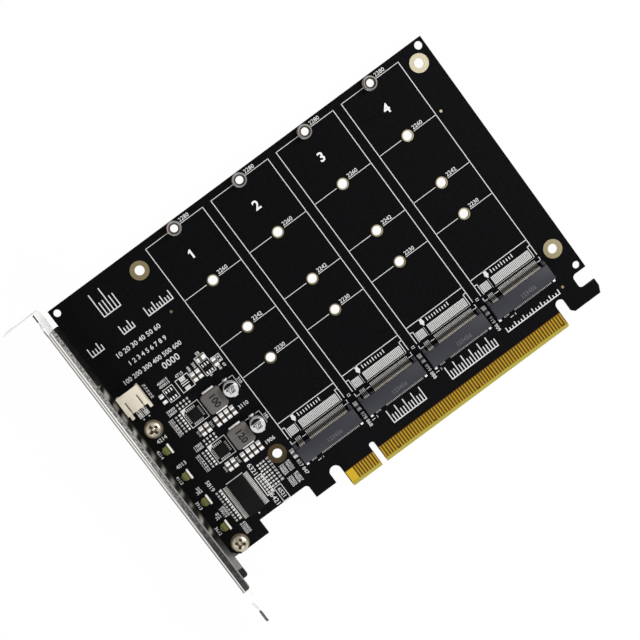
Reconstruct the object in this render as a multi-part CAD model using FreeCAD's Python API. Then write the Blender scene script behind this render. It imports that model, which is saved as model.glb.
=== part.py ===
"""Adapter card that carries four M.2 drives in one long PCI Express slot.

Frame, in millimetres: the origin is on the component face of the board, on the
centre line of the key notch, at the tip of the gold edge.  +X runs along the
gold edge away from the slot bracket, +Y runs up the card, +Z is the component side.
"""
import FreeCAD, Part
import math
import os

Vector = FreeCAD.Vector

margin = 1.0                       # how far cutting tools reach past a face
overlap = 0.1                      # how far pieces of one solid run into each other

# ---------------------------------------------------------------- board
board_thickness = 1.57
board_gap_to_bracket = 2.04        # board edge to the inner face of the bracket
board_left_zone = 46.6             # board edge to the centre line of the first drive
board_top_margin = 2.5             # screw row of the longest drive to the top edge
shoulder_y = 4.3                   # lower edge beside the bracket
recess_y = 9.3                     # raised edge between the shoulder and the short tab
recess_to_tab_slot = 7.65          # width of the leg beside the short tab
recess_width = 18.65
foot_chamfer = 2.2
recess_corner_radius = 1.2

# ---------------------------------------------------------------- gold edge
finger_pitch = 1.0
finger_width = 0.7
finger_length = 3.95
finger_short_length = 3.45
finger_tip_y = 1.25                # lower end of a full-length finger
finger_height = 0.04
fingers_before_key = 11
fingers_after_key = 71
ganged_fingers = 3                 # the first ones share one copper area on the front
short_fingers_front = (17, 31, 48, 81)
short_fingers_back = (1,)
key_width = 1.9
key_height = 8.05
key_corner_radius = 0.85
finger_to_key = 1.5                # centre of the last finger to the key centre line
tab_end_margin = 0.65              # centre of the outer finger to the end of the tab
tab_corner_radius = 0.6
tab_slot_width = 3.9
tab_slot_top_y = 9.2
bevel_height = 1.2
bevel_depth = 0.42
hook_slot_width = 3.2
hook_slot_top_y = 8.8
hook_width = 11.75
hook_y = 2.7
hook_chamfer_left = 1.0
hook_chamfer_right = 2.2
latch_notch_depth = 5.35
latch_notch_low_y = 7.35
latch_notch_high_y = 12.25
latch_notch_radius = 1.3

# ---------------------------------------------------------------- drive stations
drive_count = 4
socket_gap = 2.9                   # between the housings of neighbouring sockets
socket_seat_y = 18.4               # where the end of a drive stops
drive_lengths = (30.0, 42.0, 60.0) # rows of plain screw holes
drive_length_long = 80.0           # row that has standoff nuts
drive_thickness = 0.8
drive_clearance = 0.15
drive_screw_hole_radius = 1.5
drive_underside_z = 2.45

nut_radius = 2.15
nut_bore_radius = 1.25

# ---------------------------------------------------------------- drive sockets
socket_width = 22.1
socket_height = 4.2
socket_rear_depth = 2.85           # seat to the rear wall
socket_lower_jaw = 2.6             # seat to the front of the lower jaw
socket_upper_jaw = 2.35            # seat to the front of the upper jaw
socket_arm_width = 1.05
socket_arm_depth = 3.7             # seat to the tip of the side arms
socket_arm_height = 3.3
socket_key_shift = 0.125           # key rib off the middle of the gap in the contacts
socket_key_width = 1.2
contact_width = 0.26
contact_thickness = 0.2
contact_length = 2.45
contact_side_inset = 2.05          # side of the housing to the outer contact
right_contact_count = 29
left_contact_count = 4
keyed_contact_count = 4            # places left out at the key
holddown_width = 0.9
holddown_length = 1.3
holddown_inset = 0.55
holddown_height = 0.3

# ---------------------------------------------------------------- other holes
corner_hole_radius = 1.6
corner_hole_left = 30.3            # board edge to the left pair
corner_hole_right = 5.15           # board edge to the right pair
corner_hole_top = 6.6              # board edge to the upper pair
corner_hole_rise = 71.4            # lower pair to upper pair
tooling_radius = 1.2
tooling_radius_large = 1.32
tooling_inset = 2.1                # tooling holes to the nearest board edges
tooling_above_notch = 2.1          # lower right one above the latch notch

# ---------------------------------------------------------------- slot bracket
sheet = 0.86
bracket_to_key = 58.55             # outer face of the bracket to the key centre line
bracket_width = 18.42
bracket_length = 120.02
bracket_top_y = 103.45
flange_depth = 2.85                # measured from the outer face
flange_low_y = -2.9
flange_high_y = 95.5
flange_corner_radius = 0.8
bend_radius = 1.2                  # outside of every bend
neck_inset = 2.3                   # the neck is narrower on the component side
neck_shoulder_y = 98.4
tongue_width = 10.19
tongue_shoulder_y = -6.0
tongue_tip_taper = 2.0
ear_depth = 11.43                  # bent ear that the chassis screw holds
ear_notch_radius = 2.21
ear_notch_from_face = 6.1
ear_notch_from_edge = 3.2
relief_radius = 0.6

vent_flat = 3.3                    # across the flats of each six-sided vent
vent_pitch = 5.0
vent_row_count = 3
vent_column_count = 12
vent_first_y = 14.9

foot_screws_y = (52.2, 7.2)
foot_screw_x = 4.15                # board edge to the screws
foot_length = 5.8
foot_reach = 3.9                   # screw axis to the free end of the foot
foot_corner_radius = 1.4

screw_radius = 1.5
screw_clearance = 0.05
screw_length = 4.0
screw_head_radius = 2.75
screw_head_height = 1.9
screw_crown = 0.6                  # height of the sloping part of the head
screw_crown_inset = 0.9
screw_recess_width = 0.8
screw_recess_radius = 1.5
screw_recess_depth = 1.2

# ---------------------------------------------------------------- power header
header_x = 4.7                    # all places below start at the board's left edge
header_width = 7.9
header_low_y = 60.4
header_depth = 6.7
header_height = 5.7
header_wall = 0.8
header_floor_setback = 0.8         # floor ends behind the roof
header_foot_length = 2.0
header_foot_width = 1.0
header_foot_height = 1.6
header_slit_width = 0.45
header_slit_length = 4.2
header_slit_offset = 2.15
header_pin_pitch = 2.0
header_pin_width = 0.5
header_tail_length = 3.2
header_tail_thickness = 0.25
header_pin_z = 2.2

# ---------------------------------------------------------------- indicator lamps
lamp_count = 4
lamp_pitch = 10.05
lamp_first_y = 14.3
lamp_x = 4.7
lamp_width = 3.5
lamp_base = 0.6
lamp_height = 1.25
lens_width = 2.8
lens_depth = 2.5
lens_bevel = 0.85
lens_height = 0.95

# ---------------------------------------------------------------- power stages
stage_count = 2
stage_pitch = 13.9
stage_y = 48.4                     # centre of the upper stage

regulator_x = 17.05
regulator_drop = 0.3               # below the stage centre line
regulator_size = 3.75
regulator_height = 0.9

coil_x = 24.8
coil_width = 6.9
coil_depth = 6.8
coil_height = 3.0
coil_standoff = 0.1
coil_chamfer = 0.6
coil_terminal_width = 4.2
coil_terminal_reach = 0.6
coil_terminal_height = 1.1

can_x = 31.0
can_radius = 2.42
can_height = 5.4
can_base_size = 5.1
can_base_height = 1.3
can_base_chamfer = 1.1
can_lead_width = 0.75
can_lead_reach = 0.6
can_lead_gap = 2.1                 # between the two leads of a can
can_lead_height = 0.25

# ---------------------------------------------------------------- clock chip
clock_x = 14.65
clock_y = 18.25
clock_width = 6.1
clock_length = 12.5
clock_height = 1.1
clock_standoff = 0.1
clock_leads = 24
lead_pitch = 0.5
lead_width = 0.24
lead_height = 0.3
lead_reach = 1.3

# ---------------------------------------------------------------- small driver chips
driver_places = ((15.1, 57.8), (29.05, 57.7))
driver_width = 2.9
driver_depth = 1.6
driver_height = 1.1
driver_leads = 3
driver_lead_pitch = 0.95
driver_lead_width = 0.4
driver_lead_reach = 0.95
driver_lead_height = 0.6
driver_lead_thickness = 0.16

# ---------------------------------------------------------------- chip parts
large_chip = (2.1, 1.4, 1.15, 0.6)   # length, width, height, length of each metal end

large_capacitors = (               # x, y, lies along X
    (23.95, 57.8, False), (25.9, 57.8, False), (32.0, 57.8, False), (28.95, 61.2, True),
)
stage_capacitors_x = (15.95, 17.95, 21.4, 23.5, 25.45, 27.45)
stage_capacitors_drop = (5.8, 5.8, 6.2, 6.2, 6.2, 6.2)
socket_capacitor_gap = 1.15        # first socket's side to the capacitor on its left
socket_capacitor_y = 19.85
large_resistor = (12.15, 57.9, False)

# ---------------------------------------------------------------- derived places
drive_pitch = socket_width + socket_gap
contact_span = socket_width - 2 * contact_side_inset
contact_place_count = right_contact_count + keyed_contact_count + left_contact_count
contact_pitch = contact_span / (contact_place_count - 1)
keyed_middle = right_contact_count + (keyed_contact_count - 1) / 2
socket_key_x = contact_span / 2 - keyed_middle * contact_pitch + socket_key_shift

bracket_face_x = -bracket_to_key
bracket_inner_x = bracket_face_x + sheet
board_left = bracket_inner_x + board_gap_to_bracket
drive_xs = [board_left + board_left_zone + i * drive_pitch for i in range(drive_count)]
board_back_z = -board_thickness
long_row_y = socket_seat_y + drive_length_long
board_top = long_row_y + board_top_margin

tab_left = -finger_to_key - (fingers_before_key - 1) * finger_pitch - tab_end_margin
tab_right = finger_to_key + (fingers_after_key - 1) * finger_pitch + tab_end_margin
leg_right = tab_left - tab_slot_width
leg_left = leg_right - recess_to_tab_slot
recess_left = leg_left - recess_width
hook_left = tab_right + hook_slot_width
board_right = hook_left + hook_width
edge_slots = [
    (leg_right, tab_left, tab_slot_top_y),
    (tab_right, hook_left, hook_slot_top_y),
]

bracket_low_z = board_back_z - sheet
bracket_high_z = bracket_low_z + bracket_width
flange_inner_x = bracket_face_x + flange_depth

corner_holes = [
    (x, y)
    for x in (board_left + corner_hole_left, board_right - corner_hole_right)
    for y in (board_top - corner_hole_top, board_top - corner_hole_top - corner_hole_rise)
]
tooling_holes = [
    (board_left + tooling_inset, board_top - tooling_inset, tooling_radius),
    (board_right - tooling_inset, board_top - tooling_inset, tooling_radius_large),
    (board_right - tooling_inset, latch_notch_high_y + tooling_above_notch, tooling_radius),
]
foot_screws = [(board_left + foot_screw_x, y) for y in foot_screws_y]
stage_ys = [stage_y - i * stage_pitch for i in range(stage_count)]


# ---------------------------------------------------------------- shape helpers
def box(x0, x1, y0, y1, z0, z1):
    """Block between two corners."""
    return Part.makeBox(x1 - x0, y1 - y0, z1 - z0, Vector(x0, y0, z0))


def centred(x, y, width, depth, z0, z1):
    """Block that stands over a point."""
    return box(x - width / 2, x + width / 2, y - depth / 2, y + depth / 2, z0, z1)


def post(x, y, radius, z0, z1):
    """Round post along Z."""
    return Part.makeCylinder(radius, z1 - z0, Vector(x, y, z0))


def extrude(points, along):
    """Prism over a closed polygon."""
    wire = Part.makePolygon([Vector(*p) for p in points + points[:1]])
    return Part.Face(wire).extrude(Vector(*along))


def flat_prism(points, z0, z1):
    """Polygon in the XY plane, extruded along Z."""
    return extrude([(x, y, z0) for x, y in points], (0, 0, z1 - z0))


def side_prism(points, x0, x1):
    """Polygon in the YZ plane, extruded along X."""
    return extrude([(x0, y, z) for y, z in points], (x1 - x0, 0, 0))


def upright_edges(shape, places):
    """Edges along Z that pass through the given points of the XY plane."""
    found = []
    for edge in shape.Edges:
        a, b = edge.Vertexes[0].Point, edge.Vertexes[-1].Point
        if abs(a.x - b.x) < 1e-6 and abs(a.y - b.y) < 1e-6:
            if any(math.hypot(a.x - x, a.y - y) < 1e-4 for x, y in places):
                found.append(edge)
    return found


def edges_along(shape, axis, places):
    """Edges along one axis that pass through points given in the other two axes."""
    others = [i for i in range(3) if i != axis]
    found = []
    for edge in shape.Edges:
        a, b = edge.Vertexes[0].Point, edge.Vertexes[-1].Point
        if all(abs(a[i] - b[i]) < 1e-6 for i in others):
            if any(all(abs(a[i] - p[k]) < 1e-4 for k, i in enumerate(others)) for p in places):
                found.append(edge)
    return found


def save(name, shapes):
    """One STEP file for each node, single solid or group of solids."""
    shape = shapes if isinstance(shapes, Part.Shape) else Part.makeCompound(shapes)
    shape.exportStep("parts/" + name + ".step")


# ---------------------------------------------------------------- circuit board
def board_plate():
    """Outer form with its shoulder, recess, leg, tabs and hook."""
    plate = box(board_left, board_right, recess_y, board_top, board_back_z, 0)
    shoulder = box(board_left, recess_left, shoulder_y, recess_y, board_back_z, 0)
    leg = box(leg_left, leg_right, shoulder_y, recess_y, board_back_z, 0)
    tab = box(tab_left, tab_right, 0, recess_y, board_back_z, 0)
    hook = flat_prism(
        [
            (hook_left, recess_y),
            (hook_left, hook_y + hook_chamfer_left),
            (hook_left + hook_chamfer_left, hook_y),
            (board_right - hook_chamfer_left, hook_y),
            (board_right, hook_y + hook_chamfer_right),
            (board_right, recess_y),
        ],
        board_back_z,
        0,
    )
    bridges = [
        box(x0, x1, y_top - (x1 - x0) / 2, recess_y + overlap, board_back_z, 0)
        for x0, x1, y_top in edge_slots
    ]
    plate = plate.multiFuse([shoulder, leg, tab, hook] + bridges).removeSplitter()
    plate = plate.makeChamfer(foot_chamfer, upright_edges(plate, [(board_left, shoulder_y)]))
    plate = plate.makeFillet(recess_corner_radius, upright_edges(plate, [(leg_left, recess_y)]))
    corners = [(tab_left, 0), (tab_right, 0)]
    return plate.makeFillet(tab_corner_radius, upright_edges(plate, corners))


def rounded_slot(x0, x1, y_top):
    """Slot that opens downwards and ends in a half circle."""
    radius = (x1 - x0) / 2
    low, high = board_back_z - margin, margin
    straight = box(x0, x1, -margin, y_top - radius, low, high)
    return straight.fuse(post((x0 + x1) / 2, y_top - radius, radius, low, high))


def latch_notch():
    """Notch that a slot latch snaps into, on the far end of the board."""
    x = board_right - latch_notch_depth
    low, high = board_back_z - margin, margin
    notch = box(x, board_right + margin, latch_notch_low_y, latch_notch_high_y, low, high)
    inner = [(x, latch_notch_low_y), (x, latch_notch_high_y)]
    return notch.makeFillet(latch_notch_radius, upright_edges(notch, inner))


def edge_bevel(side):
    """Wedge that bevels one face of the gold edge."""
    face = 0 if side > 0 else board_back_z
    profile = [
        (-margin, face + side * margin),
        (bevel_height, face),
        (0, face - side * bevel_depth),
        (-margin, face - side * bevel_depth),
    ]
    return side_prism(profile, tab_left - margin, tab_right + margin)


def circuit_board():
    """Bare board with every slot, notch, bevel and hole."""
    low, high = board_back_z - margin, margin
    key = box(-key_width / 2, key_width / 2, -margin, key_height, low, high)
    corners = [(-key_width / 2, key_height), (key_width / 2, key_height)]
    key = key.makeFillet(key_corner_radius, upright_edges(key, corners))
    cuts = [rounded_slot(*slot) for slot in edge_slots]
    cuts += [
        latch_notch(),
        key,
        edge_bevel(1),
        edge_bevel(-1),
    ]
    for x in drive_xs:
        for length in drive_lengths + (drive_length_long,):
            cuts.append(post(x, socket_seat_y + length, drive_screw_hole_radius, low, high))
    for x, y in corner_holes:
        cuts.append(post(x, y, corner_hole_radius, low, high))
    for x, y, radius in tooling_holes:
        cuts.append(post(x, y, radius, low, high))
    for x, y in foot_screws:
        cuts.append(post(x, y, screw_radius + screw_clearance, low, high))
    return board_plate().cut(cuts)


def finger(number):
    """Centre line of a finger, counted from the bracket end."""
    if number <= fingers_before_key:
        return -finger_to_key - (fingers_before_key - number) * finger_pitch
    return finger_to_key + (number - fingers_before_key - 1) * finger_pitch


def edge_fingers(z0, z1, short, ganged):
    """Row of gold fingers on one face."""
    top = finger_tip_y + finger_length
    pads = []
    if ganged:
        left = finger(1) - finger_width / 2
        pads.append(box(left, finger(ganged) + finger_width / 2, finger_tip_y, top, z0, z1))
    for number in range(ganged + 1, fingers_before_key + fingers_after_key + 1):
        x = finger(number)
        low = top - finger_short_length if number in short else finger_tip_y
        pads.append(box(x - finger_width / 2, x + finger_width / 2, low, top, z0, z1))
    return pads


# ---------------------------------------------------------------- slot bracket
def bracket_channel():
    """Face of the bracket with a flange bent in along each long edge."""
    outer = box(
        bracket_face_x, flange_inner_x, flange_low_y, flange_high_y, bracket_low_z, bracket_high_z
    )
    outer = outer.makeFillet(
        bend_radius,
        edges_along(
            outer, 1, [(bracket_face_x, bracket_low_z), (bracket_face_x, bracket_high_z)]
        ),
    )
    ends = [(flange_inner_x, flange_low_y), (flange_inner_x, flange_high_y)]
    outer = outer.makeFillet(flange_corner_radius, upright_edges(outer, ends))
    low, high = bracket_low_z + sheet, bracket_high_z - sheet
    inner = box(
        bracket_inner_x,
        flange_inner_x + margin,
        flange_low_y - margin,
        flange_high_y + margin,
        low,
        high,
    )
    inner = inner.makeFillet(
        bend_radius - sheet,
        edges_along(inner, 1, [(bracket_inner_x, low), (bracket_inner_x, high)]),
    )
    return outer.cut(inner)


def bracket_neck():
    """Flat plate above the flanges, with the ear bent outwards at its top."""
    neck_high_z = bracket_high_z - neck_inset
    plate = extrude(
        [
            (bracket_face_x, flange_high_y - relief_radius, bracket_low_z + bend_radius),
            (bracket_face_x, flange_high_y + relief_radius, bracket_low_z),
            (bracket_face_x, bracket_top_y, bracket_low_z),
            (bracket_face_x, bracket_top_y, neck_high_z),
            (bracket_face_x, neck_shoulder_y + neck_inset / 2, neck_high_z),
            (bracket_face_x, neck_shoulder_y, bracket_high_z),
            (bracket_face_x, flange_high_y + relief_radius, bracket_high_z),
            (bracket_face_x, flange_high_y - relief_radius, bracket_high_z - bend_radius),
        ],
        (sheet, 0, 0),
    )
    ear_end_x = bracket_inner_x - ear_depth
    ear_y = bracket_top_y - sheet
    ear = box(ear_end_x, bracket_inner_x, ear_y, bracket_top_y, bracket_low_z, neck_high_z)
    neck = plate.fuse(ear).removeSplitter()
    neck = neck.makeFillet(bend_radius, edges_along(neck, 2, [(bracket_inner_x, bracket_top_y)]))
    neck = neck.makeFillet(
        bend_radius - sheet, edges_along(neck, 2, [(bracket_face_x, ear_y)])
    )
    notch_x = bracket_face_x - ear_notch_from_face
    notch_z = bracket_low_z + ear_notch_from_edge
    notch = box(
        notch_x - ear_notch_radius,
        notch_x + ear_notch_radius,
        ear_y - margin,
        bracket_top_y + margin,
        bracket_low_z - margin,
        notch_z,
    )
    notch_end = Part.makeCylinder(
        ear_notch_radius,
        sheet + 2 * margin,
        Vector(notch_x, ear_y - margin, notch_z),
        Vector(0, 1, 0),
    )
    return neck.cut(notch.fuse(notch_end))


def bracket_tongue():
    """Narrow tongue below the flanges that locates in the chassis."""
    tip_y = bracket_top_y - bracket_length
    shoulder = (bracket_width - tongue_width) / 2
    low, high = bracket_low_z, bracket_high_z
    return extrude(
        [
            (bracket_face_x, flange_low_y + relief_radius, low + bend_radius),
            (bracket_face_x, flange_low_y - relief_radius, low),
            (bracket_face_x, tongue_shoulder_y, low),
            (bracket_face_x, tongue_shoulder_y - shoulder, low + shoulder),
            (bracket_face_x, tip_y + tongue_tip_taper, low + shoulder),
            (bracket_face_x, tip_y, low + shoulder + tongue_tip_taper),
            (bracket_face_x, tip_y, high - shoulder - tongue_tip_taper),
            (bracket_face_x, tip_y + tongue_tip_taper, high - shoulder),
            (bracket_face_x, tongue_shoulder_y - shoulder, high - shoulder),
            (bracket_face_x, tongue_shoulder_y, high),
            (bracket_face_x, flange_low_y - relief_radius, high),
            (bracket_face_x, flange_low_y + relief_radius, high - bend_radius),
        ],
        (sheet, 0, 0),
    )


def bracket_vents():
    """Staggered six-sided vents across the face."""
    corner = vent_flat / math.sqrt(3)
    row_pitch = vent_pitch * math.sqrt(3) / 2
    middle_z = bracket_low_z + bracket_width / 2
    cutters = []
    for row in range(vent_row_count):
        z = middle_z + (row - (vent_row_count - 1) / 2) * row_pitch
        shifted = row % 2
        for column in range(vent_column_count - shifted):
            y = vent_first_y + (column + shifted / 2) * vent_pitch
            hexagon = [
                (y + corner * math.sin(a), z + corner * math.cos(a))
                for a in (math.radians(60 * k) for k in range(6))
            ]
            cutters.append(
                side_prism(hexagon, bracket_face_x - margin, bracket_inner_x + margin)
            )
    return cutters


def bracket_foot(x, y):
    """Foot that runs under the board and takes a screw."""
    end_x = x + foot_reach
    low, high = bracket_low_z, board_back_z
    near, far = y - foot_length / 2, y + foot_length / 2
    foot = box(flange_inner_x - flange_corner_radius - overlap, end_x, near, far, low, high)
    free = [(end_x, near), (end_x, far)]
    return foot.makeFillet(foot_corner_radius, upright_edges(foot, free))


def slot_bracket():
    """Folded sheet-steel bracket, one piece."""
    feet = [bracket_foot(x, y) for x, y in foot_screws]
    body = bracket_channel().multiFuse([bracket_neck(), bracket_tongue()] + feet)
    body = body.removeSplitter()
    radius = screw_radius + screw_clearance
    holes = [post(x, y, radius, bracket_low_z - margin, margin) for x, y in foot_screws]
    return body.cut(bracket_vents() + holes)


def bracket_screw(x, y):
    """Pan-head screw with a cross recess."""
    rim_z = screw_head_height - screw_crown
    head = post(x, y, screw_head_radius, 0, rim_z)
    crown = Part.makeCone(
        screw_head_radius, screw_head_radius - screw_crown_inset, screw_crown, Vector(x, y, rim_z)
    )
    shank = post(x, y, screw_radius, -screw_length, 0)
    span = 2 * screw_recess_radius
    low, high = screw_head_height - screw_recess_depth, screw_head_height + margin
    recess = [
        centred(x, y, span, screw_recess_width, low, high),
        centred(x, y, screw_recess_width, span, low, high),
    ]
    return head.multiFuse([crown, shank]).cut(recess)


# ---------------------------------------------------------------- drive stations
def contact_places(x):
    """Centre lines of one row of contacts, right group then left group."""
    keyed = range(right_contact_count, right_contact_count + keyed_contact_count)
    return [
        x + contact_span / 2 - i * contact_pitch
        for i in range(contact_place_count)
        if i not in keyed
    ]


def socket_housing(x):
    """Moulded edge socket: lower jaw, upper jaw, side arms and key rib."""
    rear = socket_seat_y - socket_rear_depth
    lower = socket_seat_y + socket_lower_jaw
    upper = socket_seat_y + socket_upper_jaw
    mouth_low = drive_underside_z - drive_clearance
    mouth_high = drive_underside_z + drive_thickness + drive_clearance
    left, right = x - socket_width / 2, x + socket_width / 2
    jaws = side_prism(
        [
            (rear, 0),
            (lower, 0),
            (lower, mouth_low),
            (socket_seat_y, mouth_low),
            (socket_seat_y, mouth_high),
            (upper, mouth_high),
            (upper, socket_height),
            (rear, socket_height),
        ],
        left,
        right,
    )
    tip = socket_seat_y + socket_arm_depth
    cheeks = [
        box(a, a + socket_arm_width, socket_seat_y, upper, 0, socket_height)
        for a in (left, right - socket_arm_width)
    ]
    arms = [
        box(a, a + socket_arm_width, socket_seat_y, tip, 0, socket_arm_height)
        for a in (left, right - socket_arm_width)
    ]
    key = box(
        x + socket_key_x - socket_key_width / 2,
        x + socket_key_x + socket_key_width / 2,
        socket_seat_y - overlap,
        upper,
        mouth_low - overlap,
        mouth_high + overlap,
    )
    return jaws.multiFuse(cheeks + arms + [key]).removeSplitter()


def front_contact(x):
    """Leg of a lower contact, soldered in front of the socket."""
    root = socket_seat_y + socket_lower_jaw
    half = contact_width / 2
    return box(x - half, x + half, root, root + contact_length, 0, contact_thickness)


def holddowns(x):
    """Soldered tabs that anchor the socket's rear corners."""
    root = socket_seat_y - socket_rear_depth
    offset = socket_width / 2 - holddown_inset
    middle = root - holddown_length / 2
    return [
        centred(c, middle, holddown_width, holddown_length, 0, holddown_height)
        for c in (x - offset, x + offset)
    ]


def standoff_nut(x):
    """Soldered nut that carries the end of a full-length drive."""
    body = post(x, long_row_y, nut_radius, 0, drive_underside_z)
    bore = post(x, long_row_y, nut_bore_radius, -margin, drive_underside_z + margin)
    return body.cut(bore)


# ---------------------------------------------------------------- power header
def header_housing():
    """Side-entry wire header with an open mouth towards the top of the card."""
    x = board_left + header_x
    left, right = x - header_width / 2, x + header_width / 2
    high_y = header_low_y + header_depth
    roof_z = header_height - header_wall
    body = box(left, right, header_low_y, high_y, 0, header_height)
    feet = [
        box(a, a + header_foot_width, header_low_y - header_foot_length, header_low_y + overlap,
            0, header_foot_height)
        for a in (left, right - header_foot_width)
    ]
    cuts = [
        box(
            left + header_wall,
            right - header_wall,
            header_low_y + header_wall,
            high_y + margin,
            header_wall,
            roof_z,
        ),
        box(
            left - margin,
            right + margin,
            high_y - header_floor_setback,
            high_y + margin,
            -margin,
            header_wall,
        ),
    ]
    for side in (-1, 1):
        slit_x = x + side * header_slit_offset
        cuts.append(
            box(
                slit_x - header_slit_width / 2,
                slit_x + header_slit_width / 2,
                header_low_y - margin,
                header_low_y + header_slit_length,
                roof_z - overlap,
                header_height + margin,
            )
        )
        pin_x = x + side * header_pin_pitch / 2
        cuts.append(
            box(
                pin_x - header_pin_width / 2,
                pin_x + header_pin_width / 2,
                header_low_y - margin,
                header_low_y + header_wall + overlap,
                header_pin_z,
                header_pin_z + header_pin_width,
            )
        )
    return body.multiFuse(feet).cut(cuts).removeSplitter()


def header_pin(side):
    """Bent pin: blade in the mouth, riser behind the rear wall, tail on the board."""
    x = board_left + header_x + side * header_pin_pitch / 2
    half = header_pin_width / 2
    tail = header_low_y - header_tail_length
    riser = header_low_y - header_pin_width
    blade_tip = header_low_y + header_depth - header_wall
    z = header_pin_z
    profile = [
        (tail, 0),
        (header_low_y, 0),
        (header_low_y, z),
        (blade_tip, z),
        (blade_tip, z + header_pin_width),
        (riser, z + header_pin_width),
        (riser, header_tail_thickness),
        (tail, header_tail_thickness),
    ]
    return side_prism(profile, x - half, x + half)


# ---------------------------------------------------------------- indicator lamps
def lamp_places():
    """Centre lines of the lamps along the bracket edge."""
    return [lamp_first_y + i * lamp_pitch for i in range(lamp_count)]


def lamp_base_block(y):
    """White carrier of a side-looking lamp."""
    return centred(board_left + lamp_x, y, lamp_base, lamp_width, 0, lamp_height)


def lamp_lens(y):
    """Lens that faces the bracket, with a bevelled nose."""
    root = board_left + lamp_x - lamp_base / 2
    nose = root - lens_depth
    half = lens_width / 2
    outline = [
        (root, y - half),
        (root, y + half),
        (nose + lens_bevel, y + half),
        (nose, y + half - lens_bevel),
        (nose, y - half + lens_bevel),
        (nose + lens_bevel, y - half),
    ]
    return flat_prism(outline, 0, lens_height)


# ---------------------------------------------------------------- power stages
def regulator_chip(y):
    """Flat no-lead regulator."""
    x = board_left + regulator_x
    return centred(x, y - regulator_drop, regulator_size, regulator_size, 0, regulator_height)


def coil_core(y):
    """Moulded power inductor with bevelled corners."""
    x = board_left + coil_x
    core = centred(x, y, coil_width, coil_depth, coil_standoff, coil_height)
    half_w, half_d = coil_width / 2, coil_depth / 2
    corners = [(x + a * half_w, y + b * half_d) for a in (-1, 1) for b in (-1, 1)]
    return core.makeChamfer(coil_chamfer, upright_edges(core, corners))


def coil_terminals(y):
    """Tinned strap that wraps up each end of the inductor."""
    x = board_left + coil_x
    half = coil_terminal_width / 2
    straps = []
    for side in (-1, 1):
        root = y + side * coil_depth / 2
        tip = root + side * coil_terminal_reach
        low_y, high_y = min(root, tip), max(root, tip)
        straps.append(box(x - half, x + half, low_y, high_y, 0, coil_terminal_height))
    return straps


def can_base(y):
    """Black plastic base, two corners cut to mark the polarity."""
    x = board_left + can_x
    half = can_base_size / 2
    base = centred(x, y, can_base_size, can_base_size, can_lead_height, can_base_height)
    marked = [(x - half, y + half), (x + half, y + half)]
    return base.makeChamfer(can_base_chamfer, upright_edges(base, marked))


def can_body(y):
    """Drawn aluminium can."""
    return post(board_left + can_x, y, can_radius, can_base_height, can_height)


def can_leads(y):
    """Flat leads that come out under the base."""
    x = board_left + can_x
    tip = can_base_size / 2 + can_lead_reach
    root = can_lead_gap / 2
    return [
        box(x - can_lead_width / 2, x + can_lead_width / 2, y + low, y + high, 0, can_lead_height)
        for low, high in ((root, tip), (-tip, -root))
    ]


# ---------------------------------------------------------------- leaded chips
def clock_chip_body():
    """Long clock chip with its body just off the board."""
    x, y = board_left + clock_x, clock_y
    return centred(x, y, clock_width, clock_length, clock_standoff, clock_height)


def clock_chip_leads():
    """Flat leads along both long sides."""
    leads = []
    for side in (-1, 1):
        root = board_left + clock_x + side * clock_width / 2
        centre = root + side * lead_reach / 2
        for i in range(clock_leads):
            y = clock_y + (i - (clock_leads - 1) / 2) * lead_pitch
            leads.append(centred(centre, y, lead_reach, lead_width, 0, lead_height))
    return leads


def driver_body(x, y):
    """Small six-lead driver chip."""
    return centred(board_left + x, y, driver_width, driver_depth, clock_standoff, driver_height)


def driver_lead_set(x, y):
    """Three bent leads on each long side of a driver chip."""
    leads = []
    half = driver_lead_width / 2
    for side in (-1, 1):
        root = y + side * driver_depth / 2
        tip = root + side * driver_lead_reach
        knee = (root + tip) / 2
        profile = [
            (root, driver_lead_height),
            (knee, driver_lead_height),
            (knee, driver_lead_thickness),
            (tip, driver_lead_thickness),
            (tip, 0),
            (root, 0),
        ]
        for i in range(driver_leads):
            centre = board_left + x + (i - (driver_leads - 1) / 2) * driver_lead_pitch
            leads.append(side_prism(profile, centre - half, centre + half))
    return leads


# ---------------------------------------------------------------- chip parts
def chip_body(x, y, size, along_x):
    """Ceramic middle of a chip part."""
    length, width, height, end = size
    middle = length - 2 * end
    spans = (middle, width) if along_x else (width, middle)
    return centred(x, y, spans[0], spans[1], 0, height)


def chip_ends(x, y, size, along_x):
    """Metal end caps of a chip part."""
    length, width, height, end = size
    shift = (length - end) / 2
    spans = (end, width) if along_x else (width, end)
    steps = ((shift, 0), (-shift, 0)) if along_x else ((0, shift), (0, -shift))
    return [centred(x + dx, y + dy, spans[0], spans[1], 0, height) for dx, dy in steps]


def large_capacitor_places():
    """Every large ceramic capacitor: power corner, both stages and the sockets."""
    places = [(board_left + x, y, along) for x, y, along in large_capacitors]
    for stage in stage_ys:
        for x, drop in zip(stage_capacitors_x, stage_capacitors_drop):
            places.append((board_left + x, stage - drop, False))
    for x in drive_xs[:-1]:
        places.append((x + drive_pitch / 2, socket_capacitor_y, False))
    beside_first = drive_xs[0] - socket_width / 2 - socket_capacitor_gap
    places.append((beside_first, socket_capacitor_y, False))
    return places


# ---------------------------------------------------------------- write the nodes
os.makedirs("parts", exist_ok=True)

save("circuit_board", circuit_board())
save("edge_fingers_front", edge_fingers(0, finger_height, short_fingers_front, ganged_fingers))
save("edge_fingers_back",
     edge_fingers(board_back_z - finger_height, board_back_z, short_fingers_back, 0))

save("slot_bracket", slot_bracket())
save("bracket_screws", [bracket_screw(x, y) for x, y in foot_screws])

for index, drive_x in enumerate(drive_xs, start=1):
    name = "drive_socket_%d_" % index
    save(name + "housing", socket_housing(drive_x))
    save(name + "contacts", [front_contact(x) for x in contact_places(drive_x)])
    save(name + "holddowns", holddowns(drive_x))
save("drive_standoffs", [standoff_nut(x) for x in drive_xs])

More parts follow.
